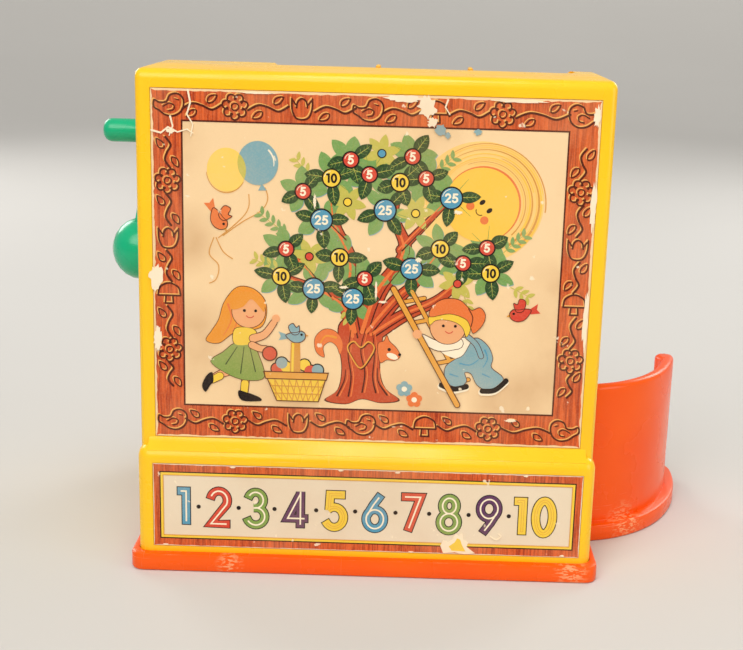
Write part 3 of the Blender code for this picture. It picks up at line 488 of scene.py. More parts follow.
class Drawing:
    """Flat printed shapes on one sheet, one thin closed object for each ink."""

    def __init__(self, name, sheet, body):
        self.name = name
        self.sheet = sheet
        self.body = body
        self.inks = {}
        self.counts = {}

    def height(self, layer):
        """A shape's height: its layer's, and a step more for each shape before it there."""
        count = self.counts.get(layer, 0)
        self.counts[layer] = count + 1
        return layer * LAYER + (count % STEPS_IN_LAYER) * SHAPE_STEP

    def fill(self, ink, outline, layer):
        self.inks.setdefault(ink, []).append((outline, None, self.height(layer)))

    def ring(self, ink, outer, inner, layer):
        self.inks.setdefault(ink, []).append((outer, inner, self.height(layer)))

    def line(self, ink, path, width, layer, closed=False, round_ends=True):
        left, right = sides(path, width, closed)
        if closed:
            self.ring(ink, left, right, layer)
            return
        outline = list(left)
        if round_ends:
            outline += self.cap(path[-1], path[-2], left[-1])
        outline += right[::-1]
        if round_ends:
            outline += self.cap(path[0], path[1], right[0])
        self.fill(ink, outline, layer)

    def cap(self, end, inside, edge):
        """The points of a half circle round a line's end, from its edge."""
        centre = Vector(end)
        start = Vector(edge) - centre
        outward = (centre - Vector(inside)).normalized()
        side = 1.0 if start.x * outward.y - start.y * outward.x > 0 else -1.0
        points = []
        for degrees in (36, 72, 108, 144):
            spot = centre + Matrix.Rotation(side * math.radians(degrees), 2) @ start
            points.append((spot.x, spot.y))
        return points

    def disc(self, ink, centre, radius, layer, steps):
        self.fill(ink, oval(centre, radius, radius, steps), layer)

    def rimmed_disc(self, ink, centre, radius, rim, layer, steps=24, rim_ink="black"):
        self.disc(rim_ink, centre, radius, layer, steps)
        self.disc(ink, centre, radius - rim, layer + 1, steps)

    def outlined(self, ink, outline, layer, width=0.5):
        """A dark closed line, and the filled shape one layer above it."""
        self.line("wood_dark", outline, width, layer, True)
        self.fill(ink, outline, layer + 1)

    def edged_line(self, ink, path, widths, layer, edge=0.6):
        """A line from one width to another, over a dark one that is wider by the edge."""
        self.line("wood_dark", path, (widths[0] + edge, widths[1] + edge), layer)
        self.line(ink, path, widths, layer + 1)

    def build(self):
        for ink, shapes in self.inks.items():
            shell = bmesh.new()
            for outline, inner, top in shapes:
                self.add_shape(shell, outline, inner, top)
            data = bpy.data.meshes.new(self.name)
            shell.to_mesh(data)
            shell.free()
            data.materials.append(INKS[ink])
            piece = link(bpy.data.objects.new(self.name + "_" + ink, data))
            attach(piece, self.body)

    def add_shape(self, shell, outline, inner, top):
        area = sum(outline[i - 1][0] * p[1] - p[0] * outline[i - 1][1] for i, p in enumerate(outline))
        if area < 0:
            outline = outline[::-1]
            inner = inner[::-1] if inner else None
        front = self.row(shell, outline, top)
        back = self.row(shell, outline, SINK)
        count = len(front)
        for i in range(count):
            shell.faces.new((back[i - 1], back[i], front[i], front[i - 1]))
        if not inner:
            shell.faces.new(front)
            shell.faces.new(back[::-1])
            return
        hole = self.row(shell, inner, top)
        base = self.row(shell, inner, SINK)
        for i in range(count):
            shell.faces.new((front[i - 1], front[i], hole[i], hole[i - 1]))
            shell.faces.new((back[i], back[i - 1], base[i - 1], base[i]))
            shell.faces.new((hole[i - 1], hole[i], base[i], base[i - 1]))

    def row(self, shell, points, height):
        return [shell.verts.new(self.sheet @ (Vector((a, b, height)) * MM)) for a, b in points]


# Each plain ink's colour, and how far it has faded
PLAIN_INKS = {
    "wood_dark": (84, 26, 14, 0.08), "wood_light": (240, 178, 98, 0.10), "black": (26, 17, 19, 0.05),
    "white": (250, 236, 208, 0.15), "blue": (78, 152, 182, 0.18), "sky": (128, 168, 176, 0.24),
    "yellow": (244, 204, 66, 0.15), "red": (214, 70, 52, 0.14), "green": (126, 158, 74, 0.20),
    "leaf": (118, 160, 88, 0.24), "leaf_dark": (42, 74, 40, 0.10), "leaf_lime": (196, 186, 84, 0.26),
    "purple": (92, 52, 92, 0.10), "trunk": (196, 72, 38, 0.14), "sun": (250, 198, 74, 0.12),
    "glow": (250, 206, 122, 0.22), "balloon": (252, 208, 96, 0.25), "orange": (232, 118, 58, 0.15),
    "hair": (234, 148, 44, 0.16), "skin": (240, 170, 118, 0.16), "straw": (230, 160, 62, 0.16),
    "gold": (214, 146, 52, 0.20),
}
INKS = {name: printed("ink_" + name, rgb(*colour), fade) for name, (*colour, fade) in PLAIN_INKS.items()}
INKS["wood"] = printed("ink_wood", rgb(222, 98, 44), 0.15, rgb(160, 50, 22))
INKS["bare"] = printed("ink_bare_paper", BARE, 0.25, None, rgb(240, 214, 176))

# Middles of the two labels' faces in metres. Of the keys: each one's place across and numeral ink,
# their middle on y and z, how far the caps' faces stand out of it, and the slope of the push
NUMBERS_PLACE = (-0.00085, 0.07886, 0.03035)
PICTURE_PLACE = (-0.00025, 0.0728, 0.1388)
KEY_MARKS = {"5": (19.6, "red"), "10": (-20.6, "black"), "25": (-64.8, "blue")}
KEY_CENTRE = (-65.0, 73.0)
KEY_OUT = 14.5
KEY_PUSH = 32.4


# ---- numerals


# Centre lines of plain numerals one unit high, each with its kind of end. The ends are "loop" for a
# closed line, or say which ends are cut square: "both", "first" or "last".
NUMERALS = {
    "0": [(oval((0.28, 0.5), 0.28, 0.5, 32), "loop")],
    "1": [([(0.02, 0.97), (0.26, 0.97), (0.26, 0.0)], "both")],
    "2": [(arc((0.29, 0.72), (0.28, 0.28), 165, -28, 16) + [(0.02, 0.0), (0.60, 0.0)], "both")],
    "3": [(arc((0.27, 0.76), (0.25, 0.24), 160, -90, 16) + [(0.2, 0.52)], "first"),
          ([(0.2, 0.52)] + arc((0.27, 0.265), (0.30, 0.265), 84, -160, 18), "last")],
    "4": [([(0.66, 0.24), (0.04, 0.24), (0.46, 1.0)], "first"), ([(0.46, 1.06), (0.46, 0.0)], "last")],
    "5": [([(0.56, 1.0), (0.12, 1.0), (0.09, 0.52)], "first"),
          (arc((0.26, 0.31), (0.31, 0.31), 135, -150, 18), "last")],
    "6": [(oval((0.30, 0.29), 0.29, 0.29, 28), "loop"), ([(0.46, 1.0), (0.24, 0.72), (0.04, 0.40)], "first")],
    "7": [([(0.0, 1.0), (0.58, 1.0), (0.20, 0.0)], "both")],
    "8": [(oval((0.29, 0.765), 0.225, 0.235, 26), "loop"), (oval((0.29, 0.265), 0.285, 0.265, 28), "loop")],
    "9": [(oval((0.30, 0.71), 0.29, 0.29, 28), "loop"), ([(0.56, 0.60), (0.36, 0.28), (0.14, 0.0)], "last")],
}
USUAL_WIDTH = 0.58
NUMERAL_WIDTHS = {"1": 0.30, "4": 0.64}


def numeral(drawing, text, centre, height, strokes, layer, gap, squeeze=1.0, foot=None):
    """Draws a number; strokes are (ink, width) from the widest to the narrowest.

    With a foot the open ends are cut square and reach that much further, without one they are round.
    """
    widths = [NUMERAL_WIDTHS.get(digit, USUAL_WIDTH) * squeeze for digit in text]
    across = -(sum(widths) + gap * (len(text) - 1)) / 2
    for digit, width in zip(text, widths):
        origin = (centre[0] + across * height, centre[1] - height / 2)
        for path, ends in NUMERALS[digit]:
            line = moved([(x * squeeze, y) for x, y in path], origin, 0.0, height)
            for step, (ink, stroke) in enumerate(strokes):
                if ends != "loop" and foot is not None:
                    reach = foot + (stroke - strokes[0][1]) / 2
                    first = reach if ends in ("both", "first") else 0.0
                    last = reach if ends in ("both", "last") else 0.0
                    drawing.line(ink, lengthened(line, first, last), stroke, layer + step, False, False)
                else:
                    drawing.line(ink, line, stroke, layer + step, ends == "loop")
        across += width + gap


def lengthened(path, first, last):
    """Moves an open line's two ends along it; a negative amount pulls an end in."""
    points = [Vector(p) for p in path]
    points[0] = points[0] + (points[0] - points[1]).normalized() * first
    points[-1] = points[-1] + (points[-1] - points[-2]).normalized() * last
    return [tuple(p) for p in points]


def upright_sheet(place):
    """The frame of a sheet that stands up and faces the customer."""
    turn = Matrix(((-1, 0, 0), (0, 0, 1), (0, 1, 0))).to_4x4()
    return Matrix.Translation(place) @ turn


def build_number_strip():
    art = Drawing("numbers", upright_sheet(NUMBERS_PLACE), "register")
    edge = rough_frame(95.2, 19.25, 0.16, 5)
    art.ring("wood", edge, square_ring(92.2, 15.6, edge), 1)
    art.ring("black", square_ring(92.5, 15.9, edge), square_ring(92.0, 15.4, edge), 2)
    art.ring("yellow", square_ring(92.0, 15.4, edge), square_ring(90.9, 14.3, edge), 2)
    art.ring("gold", square_ring(91.0, 14.4, edge), square_ring(90.7, 14.1, edge), 3)
    colours = ("blue", "red", "green", "purple", "yellow", "blue", "red", "green", "purple", "yellow")
    places = (-82.2, -66.1, -49.4, -31.6, -14.2, 3.4, 19.8, 36.6, 54.2, 74.4)
    for value, (ink, a) in enumerate(zip(colours, places), 1):
        strokes = [("black", 4.3), (ink, 3.5), ("gold", 1.1) if ink == "yellow" else ("white", 0.7)]
        if ink == "yellow":
            strokes.append(("yellow", 0.8))
        numeral(art, str(value), (a, -0.5), 15.6, strokes, 1, 0.34, 0.86, 1.0)
    for a in (-75.2, -57.3, -41.3, -22.7, -5.3, 12.7, 27.7, 45.3, 63.2):
        art.disc("black", (a, -0.4), 0.95, 2, 16)
    torn = [
        (33.2, -15.4), (34.4, -12.8), (36.6, -13.6), (38.4, -12.4), (39.6, -9.8), (41.2, -10.4),
        (43.0, -9.0), (43.4, -12.4), (45.6, -13.6), (45.0, -15.6), (48.8, -18.6), (44.0, -19.2),
        (39.8, -18.4), (34.6, -19.0)]
    art.fill("bare", torn, 6)
    hole = [
        (37.0, -15.6), (39.6, -13.6), (40.6, -11.6), (42.0, -12.2), (43.0, -15.0), (44.6, -17.8),
        (38.4, -17.6)]
    art.fill("yellow", hole, 7)
    art.line("bare", smooth([(55.5, -10.4), (58.0, -11.8), (60.2, -10.2), (59.0, -9.0)], 4), 0.5, 6)
    for a, b in ((-60, 18.7), (-12, 18.8), (13, 18.6), (70, 18.7), (-90, -18.8), (20, -18.9), (88, -18.6)):
        art.fill("bare", ragged((a, b), 1.3, 0.4, int(a) + 130, 9), 6)
    art.build()


def square_ring(half_a, half_b, like):
    """The points of a rectangle at the same share of the way round as another outline's."""
    widest = max(abs(a) for a, _ in like)
    tallest = max(abs(b) for _, b in like)
    points = []
    for a, b in like:
        reach = max(abs(a) / widest, abs(b) / tallest)
        points.append((a / widest / reach * half_a, b / tallest / reach * half_b))
    return points


def rough_frame(half_a, half_b, depth, seed):
    """A rectangle whose edge is rubbed unevenly inward."""
    chance = random.Random(seed)
    corners = [(-half_a, -half_b), (half_a, -half_b), (half_a, half_b), (-half_a, half_b)]
    points = []
    for i, corner in enumerate(corners):
        start = Vector(corner)
        end = Vector(corners[(i + 1) % 4])
        steps = int((end - start).length / 1.6)
        inward = Vector((-(end - start).y, (end - start).x)).normalized()
        slow = 0.0
        for k in range(steps):
            slow = 0.75 * slow + 0.25 * chance.uniform(0, 2 * depth)
            rub = 0.0 if k == 0 else slow + chance.uniform(0, depth)
            spot = start + (end - start) * k / steps + inward * rub
            points.append((spot.x, spot.y))
    return points


def ragged(centre, rx, ry, seed, steps):
    """A torn patch."""
    chance = random.Random(seed)
    points = []
    for i in range(steps):
        angle = 2 * math.pi * i / steps
        reach = chance.uniform(0.62, 1.08)
        points.append((centre[0] + rx * reach * math.cos(angle), centre[1] + ry * reach * math.sin(angle)))
    return points


# ---- the picture's wooden border


def carve(art, path, closed=False, width=0.95):
    """A carved groove: its dark bottom, and a lit edge above and to the left."""
    shadow = [(a + 0.22, b - 0.22) for a, b in path]
    lit = [(a - 0.38, b + 0.38) for a, b in path]
    art.line("wood_light", lit, width * 0.55, 2, closed)
    art.line("wood_dark", shadow, width * 0.8, 3, closed)


def border_flower(art, centre):
    for k in range(7):
        petal = arc((3.0, 0), (1.75, 1.55), -112, 112, 12)
        carve(art, moved(petal, centre, 360 * k / 7 + 12, 1.15), False, 0.9)
    carve(art, oval(centre, 1.5, 1.5, 16), True, 0.7)


def border_tulip(art, centre):
    cup = smooth([(-3.6, 3.4), (-3.4, -0.6), (-1.8, -3.4), (1.8, -3.4), (3.4, -0.6), (3.6, 3.4)], 5)
    carve(art, moved(cup, centre, 0, 1.2))
    petal = smooth([(-1.9, 0.4), (-1.5, 2.4), (0, 3.5), (1.5, 2.4), (1.9, 0.4)], 4)
    carve(art, moved(petal, centre, 0, 1.2))
    for side in (-1, 1):
        carve(art, moved([(side * 3.5, 3.2), (side * 2.2, 1.4)], centre, 0, 1.2), False, 0.85)


def border_bird(art, centre):
    """A carved bird that looks towards the middle of the picture."""
    place = (centre, 0, 1.0, centre[0] > 0)
    body = smooth([
        (-6.3, 2.0), (-4.2, 1.1), (-1.2, 1.4), (0.2, 4.0), (3.0, 4.9), (5.4, 3.4), (6.0, 0.6),
        (4.8, -2.6), (1.8, -4.4), (-1.8, -4.0), (-4.4, -2.2), (-6.6, -0.7)], 4, True)
    wing = smooth([(-2.6, -0.6), (0.0, 0.8), (2.0, -0.2), (1.6, -1.9), (-0.4, -2.4)], 4)
    carve(art, moved(body, *place), True)
    carve(art, moved(wing, *place), False, 0.7)
    carve(art, moved([(2.6, 2.6), (4.0, 2.2)], *place), False, 0.6)


def border_mushroom(art, centre):
    top = smooth([(-4.2, -0.4), (-3.4, 2.6), (0, 4.2), (3.4, 2.6), (4.2, -0.4)], 5)
    foot = [(-1.3, -1.0), (-1.5, -3.6), (1.5, -3.6), (1.3, -1.0)]
    for path in (top, [(-4.2, -0.6), (4.2, -0.6)], foot):
        carve(art, moved(path, centre, 0, 1.15))


def border_vine(art, centre, angle, length, mirror=False):
    half = length / 2
    stem = smooth([(-half, -1.2), (-half * 0.5, 1.0), (0, 0.2), (half * 0.5, -1.4), (half, 0.8)], 6)
    carve(art, moved(stem, centre, angle, 1.0, mirror), False, 1.15)
    for place, turn in (((half * 0.28, 1.5), 38), ((-half * 0.30, -1.9), 214)):
        bud = [(0, 0), (1.2, 1.3), (3.0, 1.3), (4.9, 0), (3.0, -1.0), (1.2, -1.0)]
        leaf = moved(smooth(bud, 3, True), place, turn)
        carve(art, moved(leaf, centre, angle, 1.0, mirror), True, 0.7)


# Where each carving stands, along a row across the picture and down a row at its side
BORDER_ACROSS = [
    (-86.5, "bird"), (-59, "flower"), (-31, "tulip"), (-3, "bird"), (25, "mushroom"), (53, "flower"),
    (86.5, "bird")]
BORDER_DOWN = [(36, "flower"), (11.5, "tulip"), (-13, "mushroom"), (-38, "flower")]


def build_border(art):
    edge = rough_frame(94.0, 76.0, 0.42, 11)
    inner = moved(square_ring(81.3, 62.3, edge), (0, -0.9))
    art.ring("wood", moved(edge, (0, -1.8)), inner, 1)
    art.ring("wood_dark", moved(square_ring(81.6, 62.6, edge), (0, -0.9)),
             moved(square_ring(80.9, 61.9, edge), (0, -0.9)), 2)
    carvings = {
        "flower": border_flower, "tulip": border_tulip, "bird": border_bird, "mushroom": border_mushroom}
    for line, upright, mirror in ((67.8, False, False), (-70.2, False, True), (-87.6, True, False),
                                  (87.6, True, True)):
        row = BORDER_DOWN if upright else BORDER_ACROSS
        for stop, name in row:
            carvings[name](art, (line, stop) if upright else (stop, line))
        ends = [stop for stop, _ in row]
        if upright:
            ends = [60] + ends + [-60]
        for first, second in zip(ends, ends[1:]):
            middle = (first + second) / 2
            length = abs(second - first) - 11.0
            if upright:
                border_vine(art, (line, middle), 90, length, mirror)
            else:
                border_vine(art, (middle, line), 0, length, mirror)


# ---- the picture


# Middles of the numbered tokens by value, and of the berries between them
TOKENS = {
    "25": [(-22, 21), (5, 26), (33, 32), (17, 1), (-25, -9), (-8, -13)],
    "10": [(-18, 39), (11, 38), (-14, 5), (29, 10), (-39, -4), (51, 0)],
    "5": [(-10, 47), (16, 49), (-30, 33), (-2, 41), (22, 40), (-37, 8), (49, 11), (-3, -4), (39, 4)],
}
# Each value's token ink, numeral ink, token radius and numeral height
TOKEN_LOOKS = {
    "25": ("blue", "white", 5.0, 3.3), "10": ("yellow", "black", 4.2, 3.3), "5": ("red", "white", 3.7, 3.1)}
BERRIES = [("blue", 3, 50), ("yellow", -11, 29), ("yellow", 18, 25), ("red", -27, 5), ("red", 37, -5)]


def leaf_outline(length, width):
    """A pointed leaf from its root along a."""
    upper = []
    lower = []
    for i in range(11):
        t = i / 10
        bulge = width / 2 * math.sin(math.pi * t ** 0.9) ** 0.75 if 0 < i < 10 else 0.0
        upper.append((length * t, bulge))
        lower.append((length * t, -bulge))
    return upper + lower[-2:0:-1]


def draw_leaf(art, origin, angle, length, width, dark):
    """A dark leaf with a lime vein and barbs, or a pale one with its shadow under it."""
    if dark:
        art.fill("leaf_dark", moved(leaf_outline(length, width), origin, angle), 4)
        vein = moved([(length * 0.2, 0), (length * 0.85, 0.0)], origin, angle)
        art.line("leaf_lime", vein, (0.28, 0.12), 5)
        for t in (0.35, 0.55, 0.72):
            for side in (-1, 1):
                barb = [(length * t, 0), (length * t + 1.1, side * width * 0.26)]
                art.line("green", moved(barb, origin, angle), (0.2, 0.1), 5)
    else:
        shade = (origin[0] + 0.25, origin[1] - 0.3)
        art.fill("sky", moved(leaf_outline(length, width), shade, angle), 2)
        art.fill("leaf", moved(leaf_outline(length, width), origin, angle), 3)
        vein = moved([(length * 0.25, 0), (length * 0.85, 0.0)], origin, angle)
        art.line("green", vein, (0.3, 0.12), 4)


def draw_tokens(art):
    chance = random.Random(4)
    for text, places in TOKENS.items():
        ink, mark, radius, height = TOKEN_LOOKS[text]
        for centre in places:
            turn = chance.uniform(0, 51)
            for k in range(7):
                angle = turn + 360 * k / 7 + chance.uniform(-11, 11)
                root = moved([(radius - 2.2, 0)], centre, angle)[0]
                length = chance.uniform(8.2, 10.2)
                draw_leaf(art, root, angle, length, chance.uniform(5.0, 6.2), k in (0, 3, 5))
            art.rimmed_disc(ink, centre, radius, 0.65, 6, 36)
            art.line("white", arc(centre, (radius - 1.2, radius - 1.2), 100, 170, 10), 0.25, 8)
            numeral(art, text, centre, height, [(mark, 0.85)], 8, 0.34)
    for ink, a, b in BERRIES:
        turn = chance.uniform(0, 60)
        for k in range(6):
            outline = moved(leaf_outline(8.2, 4.0), (a, b), turn + 60 * k + chance.uniform(-8, 8))
            art.fill("leaf_lime", outline, 3)
        art.rimmed_disc(ink, (a, b), 1.95, 0.45, 6)


def draw_sprigs(art):
    sprigs = [
        ((-36, 14), 142, 5, "leaf"), ((-39, -1), 158, 4, "leaf_lime"), ((27, 43), 42, 3, "leaf"),
        ((56, 9), 40, 4, "leaf"), ((40, -10), -75, 4, "leaf_lime"), ((-12, -17), -70, 3, "leaf_lime"),
        ((-27, 40), 130, 3, "leaf_lime"), ((60, -6), -30, 3, "leaf_lime")]
    for origin, angle, count, ink in sprigs:
        stem = moved([(0, 0), (count * 3.3, 0.8)], origin, angle)
        art.line("leaf_lime", stem, (0.35, 0.2), 2)
        for k in range(count):
            for side in (-1, 1):
                root = moved([(2.0 + k * 3.0, 0.2)], origin, angle)[0]
                art.fill(ink, moved(leaf_outline(3.9, 1.7), root, angle + side * 48), 3)


# Each branch's middle line, and its width at the trunk and at the tip
BRANCHES = [
    ([(-7, -30), (-11, -17), (-22, -10), (-38, -4)], (7.0, 1.6)),
    ([(-6, -28), (-9, -12), (-9, 4), (-16, 20), (-18, 38)], (7.6, 1.5)),
    ([(-3, -28), (3, -10), (14, 8), (9, 24), (12, 40)], (8.4, 1.6)),
    ([(-1, -28), (10, -14), (20, -4), (29, 8)], (6.6, 1.8)),
    ([(1, -29), (14, -20), (28, -13), (40, -3), (50, 0)], (6.2, 1.6)),
    ([(12, 9), (22, 20), (32, 31)], (3.4, 1.4)),
    ([(-12, 13), (-21, 22), (-30, 33)], (3.0, 1.3)),
    ([(-18, -12), (-28, 0), (-36, 8)], (3.0, 1.3)),
]


def draw_tree(art):
    trunk = smooth([
        (-19, -59), (-13.5, -54), (-12, -44), (-13.5, -33), (-13, -24), (-4, -19), (5, -24),
        (4.5, -36), (4.5, -46), (7, -53), (13, -58), (5, -59.5), (-3, -58), (-10, -60.5)], 5, True)
    swollen = [(a + (a + 4) * 0.045, b + (b + 42) * 0.02) for a, b in trunk]
    art.fill("wood_dark", swollen, 1)
    art.fill("trunk", trunk, 3)
    for points, widths in BRANCHES:
        path = smooth(points, 6)
        art.line("wood_dark", path, (widths[0] + 1.1, widths[1] + 0.9), 1)
        art.line("trunk", path, widths, 3)
        ridge = [(a - 0.7, b + 0.3) for a, b in path]
        art.line("orange", ridge, (widths[0] * 0.22, widths[1] * 0.25), 4)
        crease = [(a + widths[0] * 0.22, b - 0.3) for a, b in path[:len(path) // 2 + 2]]
        art.line("wood_dark", crease, (0.7, 0.25), 4)
    grain = [
        [(-9, -57), (-8, -48), (-9.5, -38), (-8.5, -27)], [(-3, -55), (-2, -46), (-4, -36), (-2, -26)],
        [(3, -55), (1.5, -48), (2, -38), (1, -28)], [(-14, -57), (-11, -50), (-10.5, -45)],
        [(8, -56), (4, -50), (3.5, -44)],
    ]
    for points in grain:
        path = smooth(points, 6)
        art.line("wood_dark", path, (0.75, 0.3), 4)
        art.line("orange", [(a + 1.1, b) for a, b in path], (0.6, 0.25), 4)
    heart = smooth([
        (-4, -44), (-8.3, -38.5), (-9.8, -34.4), (-7.2, -32), (-4, -34.6), (-0.8, -32),
        (1.8, -34.4), (0.3, -38.5)], 5, True)
    art.line("wood_dark", [(a + 0.4, b - 0.4) for a, b in heart], 0.7, 5, True)
    art.line("straw", heart, 0.6, 6, True)


def draw_sun(art):
    centre = (46.4, 29.8)
    a, b = centre
    art.fill("glow", oval((a - 1.0, b + 0.5), 27.0, 26.0, 56), 1)
    art.disc("orange", centre, 16.2, 2, 56)
    art.disc("sun", (a - 0.4, b - 0.3), 15.8, 3, 56)
    chance = random.Random(9)
    for k in range(11):
        reach = 17.2 + 0.85 * k
        start = chance.uniform(-60, 20)
        sweep = chance.uniform(90, 190)
        path = arc((a + 0.1 * k, b), (reach, reach), start, start + sweep, 40)
        width = chance.choice((0.3, 0.5, 1.0))
        art.line("gold" if k % 3 == 1 else "sun", path, (width, 0.12), 2)
    for right, up in ((-0.2, 0.8), (2.9, -2.7)):
        art.fill("black", oval((a + right, b + up), 0.95, 1.4, 16, -52), 4)
    art.line("wood_dark", arc((a - 0.9, b - 2.9), (1.9, 1.9), 165, 290, 10), 0.4, 4)
    for right, up in ((-5.3, -0.9), (0.9, -6.9)):
        art.disc("orange", (a + right, b + up), 1.8, 4, 20)


def draw_balloons(art):
    strings = [
        [(-53, 31), (-53, 26), (-55, 22), (-60, 17), (-66, 12)],
        [(-46, 34), (-45, 29), (-48, 24), (-56, 19), (-64, 13)],
        [(-68, 12), (-70, 5), (-66, 0), (-67, -6), (-70, -8)],
        [(-67, 12), (-64, 6), (-60, 3)],
    ]
    for points in strings:
        art.line("gold", smooth(points, 6), 0.35, 2)
    near = ((-62.5, 41.2), (8.3, 9.3))
    far = ((-49.2, 44.4), (8.6, 9.3))
    art.line("gold", arc((-62.7, 40.8), near[1], 185, 330, 24), (0.2, 0.5), 2)
    art.fill("balloon", oval(near[0], *near[1], 44), 2)
    art.fill("sky", oval(far[0], *far[1], 44), 3)
    lens = [point for point in arc(*near, -70, 90, 40) if inside_oval(point, far)]
    lens += [point for point in arc(*far, 110, 270, 40) if inside_oval(point, near)]
    art.fill("leaf_lime", lens, 4)
    art.line("white", arc(far[0], (6.8, 7.4), -8, 48, 14), (0.3, 0.8), 4)
    art.fill("sky", [(-47.6, 35.8), (-45.4, 33.0), (-49.0, 32.8)], 3)


def inside_oval(point, shape):
    centre, radii = shape
    return ((point[0] - centre[0]) / radii[0]) ** 2 + ((point[1] - centre[1]) / radii[1]) ** 2 < 1.0


def draw_bird(art, ink, centre, angle, scale=1.0, mirror=False):
    place = (centre, angle, scale, mirror)
    body = smooth([
        (-5.0, 1.0), (-2.6, 2.4), (0.6, 2.6), (3.0, 3.2), (5.0, 1.6), (4.6, -1.0), (2.0, -2.8),
        (-1.6, -2.4)], 5, True)
    tail = [(-4.2, 1.6), (-8.6, 3.4), (-7.6, 0.9), (-8.8, -1.2), (-4.2, -0.6)]
    wing = smooth([(-1.4, 1.6), (-3.4, 5.6), (-1.0, 7.4), (0.6, 5.2), (2.2, 6.0), (1.8, 2.0)], 4, True)
    beak = [(4.8, 1.6), (6.6, 0.6), (4.7, 0.0)]
    for outline, paint, layer in ((tail, ink, 2), (body, ink, 3), (wing, ink, 4), (beak, "gold", 4)):
        art.fill(paint, moved(outline, *place), layer)
    art.line("wood_dark", moved(body, *place), 0.3, 4, True)
    art.line("wood_dark", moved(wing, *place), 0.3, 5, True)
    art.disc("black", moved([(3.1, 1.3)], *place)[0], 0.55, 5, 12)


def in_basket(share, b):
    """A point of the basket's front, at a share of the way from its left side to its right."""
    drop = (-50 - b) / 10
    left = -44.8 + 4.2 * drop
    right = -19.2 - 3.0 * drop
    return (left + (right - left) * share, b)


def draw_basket(art):
    fruit = [("red", -40.5, -45.5), ("yellow", -36.5, -44.6), ("sky", -38.5, -42.8), ("yellow", -28.5, -43.4),
             ("red", -26, -46), ("sky", -22.8, -45.6)]
    for ink, a, b in fruit:
        art.rimmed_disc(ink, (a, b), 3.0, 0.5, 2)
    art.fill("gold", [(-34.6, -33.5), (-30.6, -33.5), (-30.2, -48), (-35.0, -48)], 4)
    art.line("yellow", [(-33.6, -34), (-33.8, -47)], 1.0, 5)
    rim = [(-46.5, -46.8), (-18.0, -46.8), (-18.8, -50.0), (-45.4, -50.0)]
    art.fill("straw", rim, 5)
    art.fill("yellow", [(-44.8, -50.0), (-19.2, -50.0), (-22.2, -60.0), (-40.6, -60.0)], 4)
    for k in range(8):
        for top, foot in ((k, k + 1), (k + 1, k)):
            art.line("gold", [in_basket(top / 8, -50.2), in_basket(foot / 8, -59.8)], 0.4, 6)
    for b in (-53.2, -56.6):
        art.line("gold", [in_basket(0.01, b), in_basket(0.99, b)], 0.4, 7)
    art.line("wood_dark", rim, 0.35, 7, True)
    art.line("wood_dark", [(-44.8, -50.0), (-40.6, -60.0), (-22.2, -60.0), (-19.2, -50.0)], 0.35, 7)


def limb(art, ink, points, widths, layer=4):
    art.edged_line(ink, smooth(points, 5), widths, layer)


def face(art, centre, radius):
    """A plain drawn face: a round head, two dots and a short smile."""
    a, b = centre
    art.disc("wood_dark", centre, radius + 0.3, 5, 36)
    art.disc("skin", centre, radius, 6, 36)
    for side in (-1, 1):
        art.disc("black", (a + 0.6 + side * radius * 0.34, b + radius * 0.05), 0.65, 7, 14)
    art.line("red", arc((a + 0.6, b - radius * 0.12), (1.9, 1.9), 215, 325, 8), 0.4, 7)


def draw_girl(art):
    hair = smooth([
        (-63.5, -16), (-58, -9.5), (-51, -10), (-46, -15), (-45.5, -22), (-48, -27), (-55, -28.5),
        (-60, -30), (-66, -34.5), (-71.5, -33.5), (-69, -29), (-66, -24)], 5, True)
    art.outlined("hair", hair, 3)
    for points in ([(-62, -17), (-60.5, -24), (-64, -31)], [(-59, -14), (-58, -24), (-60, -29)]):
        art.line("orange", smooth(points, 5), (0.9, 0.3), 5)
    limb(art, "skin", [(-61, -47), (-66, -49), (-69, -51)], (3.4, 2.8), 3)
    limb(art, "skin", [(-54, -47), (-54.5, -52), (-55, -57)], (3.4, 2.8), 3)
    limb(art, "yellow", [(-65.6, -49.5), (-69, -51.4)], (3.2, 2.8))
    limb(art, "yellow", [(-54.6, -52.5), (-55, -57)], (3.2, 3.0))
    shoes = [
        [(-69, -48), (-71.5, -49.5), (-73.5, -54), (-72, -57), (-70, -54), (-68.5, -52)],
        [(-57.5, -56), (-53, -57), (-48, -59), (-48, -60.5), (-56, -60.4)],
    ]
    for points in shoes:
        art.fill("black", smooth(points, 4, True), 6)
    dress = smooth([
        (-59, -34.5), (-52, -34), (-48.5, -40), (-46.2, -49.5), (-54, -51), (-62, -48.5),
        (-69.5, -43), (-64, -38.5)], 5, True)
    art.outlined("green", dress, 5)
    for points in ([(-58, -36), (-63, -44)], [(-55, -36), (-56.5, -48)], [(-52.5, -36), (-50, -47)]):
        art.line("leaf_dark", points, (0.3, 0.5), 7)
    blouse = smooth([(-59, -28), (-52, -27.5), (-49.5, -30), (-51, -34.2), (-59, -34.8)], 5, True)
    art.outlined("yellow", blouse, 5)
    limb(art, "skin", [(-51, -32), (-46, -30), (-42, -24.5)], (3.4, 2.6), 6)
    art.disc("skin", (-41.2, -22.8), 1.7, 8, 18)
    limb(art, "skin", [(-51.5, -35), (-48, -36.5), (-45.5, -36.5)], (3.0, 2.4), 7)
    face(art, (-53, -20), 7.2)
    fringe = smooth([
        (-60.5, -19), (-59, -12.5), (-53, -11), (-46.8, -14), (-46.2, -20), (-48.5, -17.5),
        (-52, -14.5), (-55.5, -18)], 5, True)
    art.fill("hair", fringe, 8)
    art.rimmed_disc("red", (-43.8, -38.6), 3.4, 0.5, 8, 26, "wood_dark")


